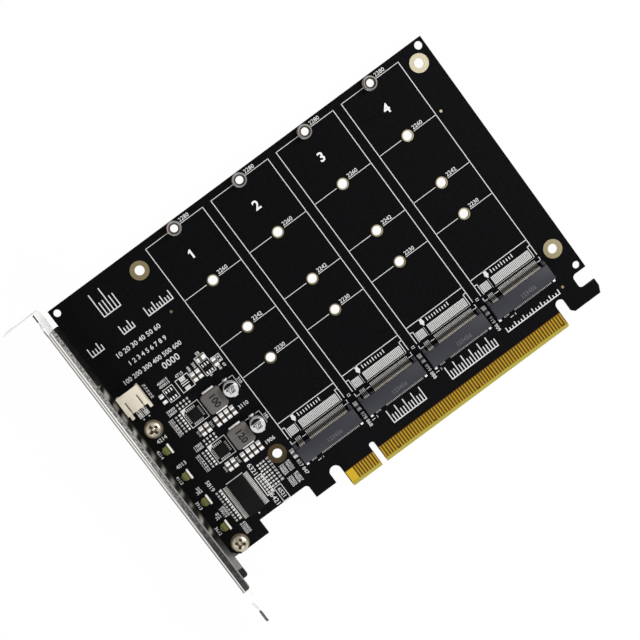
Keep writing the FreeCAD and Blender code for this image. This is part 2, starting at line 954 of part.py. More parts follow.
save("power_header_housing", header_housing())
save("power_header_pins", [header_pin(side) for side in (-1, 1)])
save("lamp_bases", [lamp_base_block(y) for y in lamp_places()])
save("lamp_lenses", [lamp_lens(y) for y in lamp_places()])

save("regulator_chips", [regulator_chip(y) for y in stage_ys])
save("inductor_cores", [coil_core(y) for y in stage_ys])
save("inductor_terminals", [strap for y in stage_ys for strap in coil_terminals(y)])
save("can_capacitor_bases", [can_base(y) for y in stage_ys])
save("can_capacitor_bodies", [can_body(y) for y in stage_ys])
save("can_capacitor_leads", [lead for y in stage_ys for lead in can_leads(y)])

save("clock_chip_body", clock_chip_body())
save("clock_chip_leads", clock_chip_leads())
save("driver_chip_bodies", [driver_body(x, y) for x, y in driver_places])
save("driver_chip_leads", [lead for x, y in driver_places for lead in driver_lead_set(x, y)])

capacitors = large_capacitor_places()
save("ceramic_capacitor_bodies", [chip_body(x, y, large_chip, a) for x, y, a in capacitors])
save("ceramic_capacitor_ends",
     [end for x, y, a in capacitors for end in chip_ends(x, y, large_chip, a)])
resistor_x, resistor_y, resistor_along = large_resistor
resistor_x += board_left
save("large_resistor_body", chip_body(resistor_x, resistor_y, large_chip, resistor_along))
save("large_resistor_ends", chip_ends(resistor_x, resistor_y, large_chip, resistor_along))
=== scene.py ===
"""Looks of an adapter card that carries four flat drives in one long expansion slot.

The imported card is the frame.  Every new piece is modelled in millimetres in the card's
own frame, is brought to metres when it is finished, and rides on the card.
"""

import math

import bmesh
import bpy
from bpy.props import FloatProperty, FloatVectorProperty, PointerProperty
from mathutils import Euler, Matrix, Vector


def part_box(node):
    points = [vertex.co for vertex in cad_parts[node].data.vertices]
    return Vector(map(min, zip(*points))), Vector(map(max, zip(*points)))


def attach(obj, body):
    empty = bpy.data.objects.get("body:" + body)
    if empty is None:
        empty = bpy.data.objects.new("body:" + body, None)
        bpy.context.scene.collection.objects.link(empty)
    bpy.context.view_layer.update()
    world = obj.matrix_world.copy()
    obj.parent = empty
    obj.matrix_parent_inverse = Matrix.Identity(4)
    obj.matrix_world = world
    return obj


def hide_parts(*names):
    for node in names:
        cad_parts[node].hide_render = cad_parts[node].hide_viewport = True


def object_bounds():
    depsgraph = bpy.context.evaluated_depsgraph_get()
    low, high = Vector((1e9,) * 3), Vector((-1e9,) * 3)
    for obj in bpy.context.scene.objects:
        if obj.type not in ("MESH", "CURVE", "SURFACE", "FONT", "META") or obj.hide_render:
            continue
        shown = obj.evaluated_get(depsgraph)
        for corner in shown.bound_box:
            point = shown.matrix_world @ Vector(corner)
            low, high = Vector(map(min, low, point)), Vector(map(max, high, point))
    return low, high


bl_info = {
    "name": "Drive adapter card",
    "version": (1, 0, 0),
    "blender": (4, 5, 0),
    "location": "3D View > Sidebar > Adapter card",
    "description": "Dresses a drive adapter card and sets the scene for it",
    "category": "Object",
}

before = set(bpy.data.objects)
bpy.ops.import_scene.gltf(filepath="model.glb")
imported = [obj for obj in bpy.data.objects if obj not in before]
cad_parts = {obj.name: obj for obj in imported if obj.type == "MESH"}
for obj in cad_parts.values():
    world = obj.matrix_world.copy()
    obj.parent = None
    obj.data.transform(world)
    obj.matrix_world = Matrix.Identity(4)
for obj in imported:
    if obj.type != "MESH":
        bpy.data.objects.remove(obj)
cad_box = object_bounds()

MM = 0.001
BODY = "root"
SMOOTH_BELOW = math.radians(35)
FONT_SIZE_FOR_HEIGHT = 1.42


def extent(node):
    """Lowest and highest corner of a node, in millimetres."""
    low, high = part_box(node)
    return low / MM, high / MM


def solids(node):
    """Lowest and highest corner of each solid of a node, in millimetres."""
    shape = bmesh.new()
    shape.from_mesh(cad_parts[node].data)
    bmesh.ops.remove_doubles(shape, verts=shape.verts[:], dist=1e-7)
    waiting = set(shape.verts)
    boxes = []
    while waiting:
        front = [waiting.pop()]
        corners = []
        while front:
            vert = front.pop()
            corners.append(vert.co / MM)
            near = {edge.other_vert(vert) for edge in vert.link_edges} & waiting
            waiting -= near
            front.extend(near)
        boxes.append(tuple(Vector(tuple(pick(c[i] for c in corners) for i in range(3)))
                           for pick in (min, max)))
    shape.free()
    return sorted(boxes, key=lambda box: (round(box[0].x, 1), box[0].y))


def centres(boxes):
    """Middle of each box, seen from above the board."""
    return [tuple(((low + high) / 2).xy) for low, high in boxes]


board_low, board_high = extent("circuit_board")
back_z = board_low.z
corner_xs = (board_low.x + 30.3, board_high.x - 5.15)
corner_ys = (board_high.y - 6.6, board_high.y - 78.0)
screw_places = [(board_low.x + 4.15, y) for y in (52.2, 7.2)]
plating = 0.035
mount_hole = 1.6
drive_hole = 1.5

nut_radius = 2.15
nut_bore = 1.25
drive_lengths = (80.0, 60.0, 42.0, 30.0)
socket_names = ["drive_socket_%d" % number for number in (1, 2, 3, 4)]
drive_xs = [x for x, y in centres(extent(name + "_housing") for name in socket_names)]
nut_row = centres([extent("drive_standoffs")])[0][1]
drive_rows = [nut_row - drive_lengths[0] + drive for drive in drive_lengths]
nut_places = [(x, nut_row) for x in drive_xs]
seat_y = extent("drive_standoffs")[0].y + nut_radius - drive_lengths[0]

flange_depth = 2.85
ear_reach = 10.57
finger_pitch = 1.0
ganged_finger = 2.9
contact_pitch = 0.5


# ---------------------------------------------------------------- sizes and colours
def colour(name, value, words):
    """Colour that a user may change."""
    return FloatVectorProperty(
        name=name, description=words, default=value, size=3, subtype="COLOR", min=0.0, max=1.0
    )


def length(name, value, words):
    """Length that a user may change."""
    return FloatProperty(name=name, description=words + ", in millimetres", default=value, min=0.0)


class CARD_PG_board(bpy.types.PropertyGroup):
    """Solder mask, laminate, plating and print."""

    mask: colour("Mask", (0.0016, 0.0016, 0.0021), "Solder mask")
    laminate: colour("Laminate", (0.075, 0.052, 0.022), "Bare glass laminate at the edges")
    finger_gap: colour("Finger gap", (0.085, 0.030, 0.004), "Bare laminate between the fingers")
    bevel: colour("Bevel", (0.43, 0.36, 0.062), "Sloping face of the gold edge")
    gold: colour("Gold", (0.60, 0.385, 0.030), "Hard gold of the fingers")
    wide_gold: colour("Wide finger", (0.80, 0.52, 0.030), "Ganged finger at the end")
    gold_edge: colour("Gold edge", (0.085, 0.036, 0.001), "Sloping edges of the fingers")
    # Ring colours below paint a reflection: dark near the bracket, pale at the far end.
    ring_dark: colour("Ring, dark end", (0.078, 0.053, 0.022), "Plated rings near the bracket")
    ring_middle: colour("Ring, middle", (0.43, 0.36, 0.185), "Plated rings half way along")
    ring_pale: colour("Ring, pale end", (0.90, 0.80, 0.56), "Plated rings at the far end")
    screw_pad: colour("Screw pad", (0.20, 0.17, 0.085), "Plated rims under the screws")
    ink: colour("Ink", (0.68, 0.68, 0.67), "Printed lines and marks")
    bright_ink: colour("Bright ink", (0.84, 0.84, 0.83), "Large drive numbers")
    faint: colour("Faint ink", (0.10, 0.10, 0.105), "Marks on chips and sockets")
    line_width: length("Line width", 0.25, "Width of the drive outlines")
    ink_height: length("Ink height", 0.02, "Thickness of the print")


class CARD_PG_metal(bpy.types.PropertyGroup):
    """Bracket, screws, nuts and tinned parts."""

    bracket: colour("Bracket", (0.74, 0.73, 0.71), "Nickel-plated sheet")
    screw: colour("Screw", (0.72, 0.64, 0.52), "Warm nickel of the screws")
    nut: colour("Nut", (0.66, 0.63, 0.60), "Tinned nuts")
    tin: colour("Tin", (0.97, 0.96, 0.94), "Solder and tinned ends")
    pad_tin: colour("Pad tin", (0.60, 0.59, 0.57), "Bare pads, leads and the smallest parts")
    contact: colour("Contact", (0.50, 0.49, 0.46), "Socket contacts")
    contact_tip: colour("Contact tip", (0.74, 0.66, 0.58), "Plated tips of the contacts")
    # Painted shade: the dark colour of the screw recesses and the nut bores.
    recess: colour("Recess", (0.12, 0.09, 0.068), "Screw recess")
    sheet_edge: length("Sheet edge", 0.1, "Rounding of the bracket's edges")


class CARD_PG_plastic(bpy.types.PropertyGroup):
    """Sockets, header, lamps and chip bodies."""

    socket: colour("Socket", (0.032, 0.033, 0.041), "Socket moulding")
    header: colour("Header", (0.78, 0.71, 0.58), "Header moulding")
    chip: colour("Chip", (0.0055, 0.0055, 0.0055), "Chip moulding compound")
    core: colour("Core", (0.118, 0.108, 0.102), "Pressed inductor core")
    lamp: colour("Lamp base", (0.90, 0.89, 0.82), "Lamp carrier")
    lens: colour("Lamp lens", (0.150, 0.155, 0.030), "Tinted lens")
    ceramic: colour("Ceramic", (0.13, 0.105, 0.085), "Capacitor ceramic")
    can: colour("Can", (0.82, 0.82, 0.82), "Aluminium can")
    figure: colour("Figure", (0.011, 0.010, 0.009), "Figures on the inductors")


class CARD_PG_stage(bpy.types.PropertyGroup):
    """Camera, lamps and floor."""

    camera_place: FloatVectorProperty(
        name="Camera", description="Place of the camera, in metres", size=3,
        subtype="TRANSLATION", default=(0.0067942, 0.1172132, 0.58),
    )
    camera_turn: FloatVectorProperty(
        name="Camera turn", description="Turn of the camera", size=3, subtype="EULER",
        default=tuple(math.radians(a) for a in (-5.22638, -4.28436, -36.39524)),
    )
    lens: FloatProperty(name="Lens", description="Focal length, in millimetres", default=105.648)
    world: FloatProperty(name="Room light", description="Strength of the room", default=0.35)
    key: FloatProperty(name="Key lamp", description="Power, in watts", default=4.2)
    fill: FloatProperty(name="Fill lamp", description="Power, in watts", default=2.4)
    floor_glow: FloatProperty(
        name="Floor glow", description="How far the floor stays white under the shadow",
        default=0.97, min=0.0, max=1.0, subtype="FACTOR",
    )


# ---------------------------------------------------------------- shader tools
def shade(base, share):
    """Colour made darker or lighter by a factor."""
    return tuple(min(1.0, c * share) for c in base)


class Value:
    """A shader socket that takes part in sums."""

    def __init__(self, finish, socket):
        self.finish = finish
        self.socket = socket

    def sum(self, operation, *parts):
        """Math node that takes the parts in order."""
        made = self.finish.node("ShaderNodeMath", {"operation": operation}, dict(enumerate(parts)))
        return Value(self.finish, made.outputs[0])

    def __add__(self, other):
        return self.sum("ADD", self, other)

    def __radd__(self, other):
        return self.sum("ADD", other, self)

    def __sub__(self, other):
        return self.sum("SUBTRACT", self, other)

    def __rsub__(self, other):
        return self.sum("SUBTRACT", other, self)

    def __mul__(self, other):
        return self.sum("MULTIPLY", self, other)

    def __rmul__(self, other):
        return self.sum("MULTIPLY", other, self)

    def __truediv__(self, other):
        return self.sum("DIVIDE", self, other)

    def __gt__(self, other):
        return self.sum("GREATER_THAN", self, other)

    def __lt__(self, other):
        return self.sum("LESS_THAN", self, other)

    def between(self, low, high):
        """1 where the value lies between two limits."""
        return (self > low) * (self < high)

    def ramp(self, low, high):
        """0 below low, 1 above high, and a straight rise between."""
        limits = {"Value": self, "From Min": low, "From Max": high}
        made = self.finish.node("ShaderNodeMapRange", {"clamp": True}, limits)
        return Value(self.finish, made.outputs[0])

    def size(self):
        """The value without its sign."""
        return self.sum("ABSOLUTE", self)

    def stripes(self, pitch):
        """Place within one stripe, from 0 to 1."""
        return self.sum("FRACT", self / pitch)


class Finish:
    """One material: its principled shader and the tools that feed it."""

    def __init__(self, name, base, roughness, metallic=0.0, **constants):
        self.material = bpy.data.materials.new(name)
        self.material.use_nodes = True
        self.tree = self.material.node_tree
        self.shader = self.tree.nodes["Principled BSDF"]
        self.base = tuple(base) + (1.0,)
        self.set("Base Color", self.base)
        self.set("Roughness", roughness)
        self.set("Metallic", metallic)
        for socket, value in constants.items():
            self.set(socket.replace("_", " "), value)
        self.material.diffuse_color = self.base

    def set(self, socket, value):
        """Link or constant on one socket of the shader."""
        self.plug(self.shader.inputs[socket], value)

    def plug(self, socket, value):
        """Link or constant on any socket."""
        if isinstance(value, Value):
            value = value.socket
        if isinstance(value, bpy.types.NodeSocket):
            self.tree.links.new(value, socket)
        else:
            socket.default_value = value

    def node(self, kind, settings=None, sockets=None):
        """Any node, with its settings first and then its sockets."""
        made = self.tree.nodes.new(kind)
        for key, value in (settings or {}).items():
            if key == "stops":
                elements = made.color_ramp.elements
                while len(elements) < len(value):
                    elements.new(1.0)
                for element, (place, tint) in zip(elements, value):
                    element.position = place
                    element.color = (*tint, 1.0)
            else:
                setattr(made, key, value)
        for key, value in (sockets or {}).items():
            self.plug(made.inputs[key], value)
        return made

    def place(self, stretch=(1.0, 1.0, 1.0)):
        """Object coordinates in millimetres, stretched along each axis."""
        where = self.node("ShaderNodeTexCoord").outputs["Object"]
        factor = tuple(s / MM for s in stretch)
        return self.node(
            "ShaderNodeVectorMath", {"operation": "MULTIPLY"}, {0: where, 1: factor}
        ).outputs[0]

    def axes(self, vector=None):
        """X, Y and Z of a vector, of the place in millimetres by default."""
        split = self.node("ShaderNodeSeparateXYZ", None, {0: vector or self.place()})
        return [Value(self, split.outputs[i]) for i in range(3)]

    def facing(self):
        """X, Y and Z of the surface's normal."""
        return self.axes(self.node("ShaderNodeTexCoord").outputs["Normal"])

    def noise(self, scale, detail=3.0, stretch=(1.0, 1.0, 1.0), rough=0.5):
        """Clouds from 0 to 1, with their scale in turns for each millimetre."""
        sockets = {
            "Vector": self.place(stretch), "Scale": scale, "Detail": detail, "Roughness": rough,
        }
        return Value(self, self.node("ShaderNodeTexNoise", None, sockets).outputs[0])

    def cells(self, scale):
        """Distance from the middle of uneven cells."""
        sockets = {"Vector": self.place(), "Scale": scale}
        return Value(self, self.node("ShaderNodeTexVoronoi", None, sockets).outputs["Distance"])

    def mix(self, factor, low, high):
        """Colour between two colours."""
        low, high = (
            c if isinstance(c, bpy.types.NodeSocket) else tuple(c) + (1.0,) for c in (low, high)
        )
        return self.node(
            "ShaderNodeMix", {"data_type": "RGBA"}, {0: factor, 6: low, 7: high}
        ).outputs[2]

    def tone(self, factor, spread):
        """The base colour, darker and lighter by a share."""
        plain = self.base[:3]
        return self.mix(factor, shade(plain, 1 - spread), shade(plain, 1 + spread))

    def bump(self, height, depth):
        """Relief with its depth in millimetres."""
        sockets = {"Height": height, "Distance": depth * MM, "Strength": 1.0}
        self.set("Normal", self.node("ShaderNodeBump", None, sockets).outputs[0])


# ---------------------------------------------------------------- finishes
def worn_metal(name, base, roughness, grain=(1.0, 1.0, 1.0), metallic=1.0):
    """Plated metal with drawing marks along one axis and cloudy dulling."""
    metal = Finish(name, base, roughness, metallic)
    clouds = metal.noise(0.35, 4.0)
    lines = metal.noise(2.2, 3.0, grain)
    metal.set("Base Color", metal.tone(clouds.ramp(0.3, 0.7), 0.12))
    metal.set("Roughness", roughness * 0.75 + clouds * (roughness * 0.35) + lines * 0.12)
    metal.bump(lines + clouds, 0.01)
    return metal.material


def moulded(name, base, roughness, grain=3.0, depth=0.006, spread=0.12, gloss=0.25):
    """Moulded plastic with a fine sparked grain."""
    plastic = Finish(name, base, roughness, Specular_IOR_Level=gloss)
    fine = plastic.noise(grain, 2.0)
    broad = plastic.noise(0.25, 2.0)
    plastic.set("Base Color", plastic.tone(broad * 0.6 + fine * 0.4, spread))
    plastic.set("Roughness", fine * 0.2 + (roughness - 0.1))
    plastic.bump(fine, depth)
    return plastic.material


def board_finish(look):
    """Mask with faint traces, bare laminate on the edges and at the gold edge."""
    mask = Finish("black_solder_mask", look.mask, 0.42, Specular_IOR_Level=0.07)
    x, y, z = mask.axes()
    up = mask.facing()[2].size()
    flat, wall = up > 0.98, up < 0.5
    slope = (1 - wall) * (1 - flat)
    low, high = extent("edge_fingers_front")
    tab = flat * (y < high.y + 0.25) * x.between(low.x - 0.8, high.x + 0.8)
    grain = mask.noise(0.9, 3.0)
    weave = mask.noise(3.0, 2.0)
    lanes = x.stripes(finger_pitch).between(0.32, 0.68) * x.between(-9.0, 71.0)
    lanes = lanes * y.between(6.2, 14.2)
    pour = mask.cells(0.16).ramp(0.30, 0.34)
    skin = mask.mix(grain.ramp(0.35, 0.65), look.mask, shade(look.mask, 1.5))
    skin = mask.mix(lanes * 0.5, skin, shade(look.mask, 2.4))
    skin = mask.mix(tab, skin, look.finger_gap)
    layers = z.stripes(0.39).between(0.40, 0.52)
    edge = mask.mix(layers * 0.6, look.laminate, shade(look.laminate, 0.35))
    skin = mask.mix(wall, skin, edge)
    streaks = mask.noise(1.6, 3.0, (1.0, 6.0, 1.0))
    bevel = mask.mix(streaks, look.bevel, shade(look.bevel, 0.8))
    mask.set("Base Color", mask.mix(slope, skin, bevel))
    mask.set("Roughness", (grain * 0.16 + 0.34) * (1 - wall) + wall * 0.75 + tab * 0.12)
    mask.bump(lanes * 0.8 + pour * 0.5 + weave * 0.35, 0.012)
    return mask.material


def gold_finish(look):
    """Hard gold with insertion marks, and sloping edges along each finger."""
    gold = Finish("finger_gold", look.gold, 0.34, 0.7)
    from_end = gold.axes()[0] - extent("edge_fingers_front")[0].x
    rub = gold.noise(2.4, 2.0, (4.0, 0.25, 1.0))
    clouds = gold.noise(0.22, 3.0)
    single = from_end > ganged_finger
    across = ((from_end - finger_pitch / 2).stripes(finger_pitch) - 0.5).size()
    edge = (1 - across.ramp(0.16, 0.26)) * single
    plain = gold.tone(clouds * 0.7 + rub * 0.3, 0.16)
    plain = gold.mix(single, look.wide_gold, plain)
    gold.set("Base Color", gold.mix(edge * 0.85, plain, look.gold_edge))
    gold.set("Roughness", rub * 0.22 + 0.26)
    gold.bump(rub, 0.006)
    return gold.material


def ring_finish(look):
    """Plated rings with a painted reflection, dark near the bracket and pale at the far end."""
    ring = Finish("plated_ring", look.ring_pale, 0.38, 0.75)
    x, y = ring.axes()[:2]
    away = (x - corner_xs[0]) / (corner_xs[1] - corner_xs[0])
    raised = (y - corner_ys[1]) / (corner_ys[0] - corner_ys[1])
    along = away * 0.6 + raised * 0.4
    clouds = ring.noise(1.2, 3.0)
    # Painted reflection that follows the place on the board; the clouds add random tone.
    tone = ring.mix(along.ramp(0.0, 0.5), look.ring_dark, look.ring_middle)
    tone = ring.mix(along.ramp(0.5, 1.0), tone, look.ring_pale)
    ring.set("Base Color", ring.mix(clouds * 0.25, tone, look.ring_dark))
    ring.set("Roughness", clouds * 0.2 + 0.28)
    ring.bump(clouds, 0.01)
    return ring.material


def ink_finish(name, base):
    """Slightly uneven screen print."""
    ink = Finish(name, base, 0.55)
    body = ink.noise(1.6, 3.0)
    ink.set("Base Color", ink.tone(body.ramp(0.3, 0.7), 0.08))
    ink.set("Roughness", body * 0.2 + 0.45)
    ink.bump(body, 0.005)
    return ink.material


def contact_finish(metal):
    """Tinned feet, painted shade on the knees, and plated tips of the socket contacts."""
    spring = Finish("contact_metal", metal.contact, 0.36, 0.4)
    y, z = spring.axes()[1:]
    y = y - seat_y
    clouds = spring.noise(1.4, 2.0)
    dark = shade(metal.contact, 0.22)
    tone = spring.mix(clouds * 0.5, metal.contact, shade(metal.contact, 1.5))
    # Painted shade: a dark band on the knees, where the gap under the socket's lip lies in shade.
    tone = spring.mix(y.between(2.3, 4.1) * 0.35, tone, dark)
    tone = spring.mix(y.between(2.3, 3.75), tone, dark)
    tone = spring.mix(z > 1.4, tone, metal.contact_tip)
    spring.set("Base Color", tone)
    spring.set("Roughness", clouds * 0.2 + 0.28)
    spring.bump(clouds, 0.006)
    return spring.material


def grey(value):
    """Warm grey of nickel plate."""
    return (value, value * 0.97, value * 0.93)


def flange_colour(plate, u, y, start, lit):
    """Painted highlights and shade in stripes along the bend, and a rough band from a place on it,
    painted as a dark reflection, lighter where lit, with a painted highlight on its inner edge.
    """
    # Light stripes are painted glints on the rounded bend; dark ones its painted shaded side.
    stops = ((0.0, 0.13), (0.36, 0.13), (0.46, 1.0), (0.82, 1.0), (0.92, 0.28), (1.22, 0.28),
             (1.32, 1.0), (1.7, 1.0))
    stripes = plate.node(
        "ShaderNodeValToRGB",
        {"stops": [(place / flange_depth, grey(value)) for place, value in stops]},
        {0: u / flange_depth},
    ).outputs[0]
    # Painted shade: the stripes darken where the flange is less lit.
    stripes = plate.mix((1 - lit) * 0.3, stripes, grey(0.1))
    specks = plate.noise(2.2, 4.0, (1.0, 0.6, 1.0), 0.7).ramp(0.42, 0.58)
    # Painted dark reflection on the rough band, in a shaded and a lit copy with specks.
    painted_shaded_band = plate.mix(specks, grey(0.005), grey(0.052))
    painted_lit_band = plate.mix(specks, grey(0.08), grey(0.40))
    rough = plate.mix(lit, painted_shaded_band, painted_lit_band)
    # Painted highlight along the flange's inner edge, on its lower part.
    painted_edge_highlight = (u > flange_depth - 0.23) * (1 - y.ramp(50.0, 60.0))
    skin = plate.mix((u - start).ramp(-0.05, 0.05), stripes, rough)
    return plate.mix(painted_edge_highlight * 0.8, skin, grey(0.34))


def inner_colour(plate, u, y):
    """Slanting painted spots of light from the vents, on a flange painted dark as shadow that is
    pale at its foot.
    """
    drift = plate.noise(0.16, 3.0)
    slant = (y + 1.4 - (u - 1.9) * 0.8 + (drift - 0.5) * 3.0).stripes(4.9)
    off = (slant - 0.5).size()
    close = 1 - (u - 1.65).size().ramp(0.2, 0.9)
    strength = (drift * 2.0 - 0.5 + y.ramp(48.0, 60.0) * 1.2).ramp(0.0, 0.9)
    # Painted pools of light from the vents, stronger towards larger Y.
    spots = 1 - (off - y.ramp(54.0, 60.0) * 0.08).ramp(0.05, 0.28)
    spots = spots * close * y.between(14.0, 73.0) * strength
    # Painted faint spill of light round the vent light.
    painted_spill_light = (1 - off.ramp(0.1, 0.5)) * y.ramp(9.0, 14.0) * (1 - y.ramp(68.0, 78.0)) * 0.8
    foot = (1 - y.ramp(3.0, 12.5)) * (y > 0.2)
    # Painted shadow: the inner flange is near black, with the painted light laid over it.
    skin = plate.mix(painted_spill_light, grey(0.006), (0.070, 0.065, 0.048))
    skin = plate.mix(spots, skin, (0.95, 0.94, 0.86))
    return plate.mix(foot, skin, grey(0.24))


def bracket_finish(metal):
    """Nickel plate with painted light: striped bend with painted highlights, rough flange with a
    painted dark reflection, inner flange in painted shadow with painted spots of light, and neck
    and tongue painted pale as a reflection.
    """
    plate = Finish("bracket_nickel", metal.bracket, 0.36, 0.5)
    low, high = extent("slot_bracket")
    x, y, z = plate.axes()
    up = plate.facing()[2]
    u = x - (low.x + ear_reach)
    blotch = plate.noise(0.5, 4.0, (1.0, 0.5, 1.0))
    lines = plate.noise(2.4, 3.0, (1.0, 0.12, 1.0))
    lit = y.ramp(14.0, 54.0)
    start = lit * 0.72 + 0.9

    within = y.between(-3.0, 95.6)
    skin = plate.tone(blotch.ramp(0.3, 0.7), 0.08)
    # Neck and tongue: near white, a painted reflection.
    skin = plate.mix(1 - within, skin, (0.97, 0.97, 0.96))
    cut = y.between(-25.0, -11.3) + y.between(100.4, 103.0) + y.between(95.6, 97.3) * 0.8
    cut = cut + (y.between(97.3, 100.4) + y.between(-11.3, -7.3)) * 0.25
    cut = cut * (up > 0.7) * u.between(0.0, (y < 0.0) * 0.4 + 0.5)
    skin = plate.mix(cut, skin, grey(0.07))
    top = (z > high.z - 1.0) * within
    back = (z < 0.0) * within * (u > 0.9)
    skin = plate.mix(top, skin, flange_colour(plate, u, y, start, lit))
    skin = plate.mix(back, skin, inner_colour(plate, u, y))
    plate.set("Base Color", skin)
    plate.set("Metallic", (within - top - back).ramp(0.0, 2.0))
    matt = (top * (u > start) + back) * 0.45
    plate.set("Roughness", blotch * 0.2 + lines * 0.1 + 0.26 + matt)
    plate.bump(lines * 0.6 + blotch, 0.015)
    return plate.material


# ---------------------------------------------------------------- modelling tools
def block(x0, x1, y0, y1, z0, z1):
    """Block between two corners."""
    shape = bmesh.new()
    middle = Vector((x0 + x1, y0 + y1, z0 + z1)) / 2
    spread = Matrix.Diagonal((x1 - x0, y1 - y0, z1 - z0, 1.0))
    bmesh.ops.create_cube(shape, size=1.0, matrix=Matrix.Translation(middle) @ spread)
    return shape


def centred(width, depth, z0, z1):
    """Block that stands over the origin."""
    return block(-width / 2, width / 2, -depth / 2, depth / 2, z0, z1)


def new_verts(geometry):
    """The vertices among what an operator made."""
    return [part for part in geometry if isinstance(part, bmesh.types.BMVert)]


def prism(points, travel):
    """Polygon carried along a straight way."""
    shape = bmesh.new()
    face = shape.faces.new([shape.verts.new(p) for p in points])
    moved = bmesh.ops.extrude_face_region(shape, geom=[face])["geom"]
    bmesh.ops.translate(shape, verts=new_verts(moved), vec=travel)
    bmesh.ops.recalc_face_normals(shape, faces=shape.faces[:])
    return shape


def bent_strip(way, thickness, width):
    """Flat strip of a given width that follows a way in the YZ plane."""
    shape = bmesh.new()
    verts = [shape.verts.new((-width / 2, y, z)) for y, z in way]
    edges = [shape.edges.new(pair) for pair in zip(verts, verts[1:])]
    spread = bmesh.ops.extrude_edge_only(shape, edges=edges)["geom"]
    bmesh.ops.translate(shape, verts=new_verts(spread), vec=(width, 0, 0))
    bmesh.ops.recalc_face_normals(shape, faces=shape.faces[:])
    bmesh.ops.solidify(shape, geom=shape.faces[:], thickness=thickness)
    bmesh.ops.recalc_face_normals(shape, faces=shape.faces[:])
    return shape


def turned(outline, steps=32):
    """Closed outline of radius and height, turned round the Z axis."""
    shape = bmesh.new()
    verts = [shape.verts.new((r, 0.0, z)) for r, z in outline]
    edges = [shape.edges.new((a, b)) for a, b in zip(verts, verts[1:] + verts[:1])]
    bmesh.ops.spin(
        shape, geom=verts + edges, cent=(0, 0, 0), axis=(0, 0, 1), angle=2 * math.pi,
        steps=steps, use_merge=True,
    )
    bmesh.ops.remove_doubles(shape, verts=shape.verts[:], dist=1e-5)
    bmesh.ops.recalc_face_normals(shape, faces=shape.faces[:])
    return shape


def join(shape, other):
    """Adds a second shape to the first, and frees it."""
    data = bpy.data.meshes.new("joined")
    other.to_mesh(data)
    other.free()
    shape.from_mesh(data)
    bpy.data.meshes.remove(data)


def as_object(shape, name):
    """Loose object that holds a copy of a shape."""
    data = bpy.data.meshes.new(name)
    shape.to_mesh(data)
    made = bpy.data.objects.new(name, data)
    bpy.context.collection.objects.link(made)
    return made


def carved(shape, tool, radius, top):
    """Shape less a tool; the walls of the cut near the axis and below a height are marked 1."""
    whole, cutter = as_object(shape, "whole"), as_object(tool, "cutter")
    cut = whole.modifiers.new("cut", "BOOLEAN")
    cut.operation = "DIFFERENCE"
    cut.solver = "EXACT"
    cut.use_self = True
    cut.object = cutter
    bpy.context.view_layer.update()
    way = bpy.context.evaluated_depsgraph_get()
    data = bpy.data.meshes.new_from_object(whole.evaluated_get(way))
    made = bmesh.new()
    made.from_mesh(data)
    for face in made.faces:
        middle = face.calc_center_median()
        inside = middle.xy.length < radius and 0.3 < middle.z < top
        face.material_index = int(inside)
    for loose in (whole, cutter):
        mesh = loose.data
        bpy.data.objects.remove(loose)
        bpy.data.meshes.remove(mesh)
    bpy.data.meshes.remove(data)
    return made


def ring(inner, outer, z0, z1, steps=32):
    """Flat ring round the origin."""
    return turned([(inner, z0), (outer, z0), (outer, z1), (inner, z1)], steps)


def lettering(words, height, z0, z1, weight=0.0):
    """Solid numerals, centred on the origin and standing up along Y."""
    curve = bpy.data.curves.new("numerals", "FONT")
    curve.body = words
    curve.align_x = "CENTER"
    curve.align_y = "CENTER"
    curve.size = height * FONT_SIZE_FOR_HEIGHT
    curve.offset = weight
    curve.extrude = (z1 - z0) / 2
    curve.resolution_u = 2
    holder = bpy.data.objects.new("numerals", curve)
    bpy.context.collection.objects.link(holder)
    bpy.context.view_layer.update()
    made = bpy.data.meshes.new_from_object(holder)
    bpy.data.objects.remove(holder)
    bpy.data.curves.remove(curve)
    shape = bmesh.new()
    shape.from_mesh(made)
    bpy.data.meshes.remove(made)
    bmesh.ops.remove_doubles(shape, verts=shape.verts[:], dist=1e-4)
    bmesh.ops.translate(shape, verts=shape.verts[:], vec=(0, 0, (z0 + z1) / 2))
    return shape


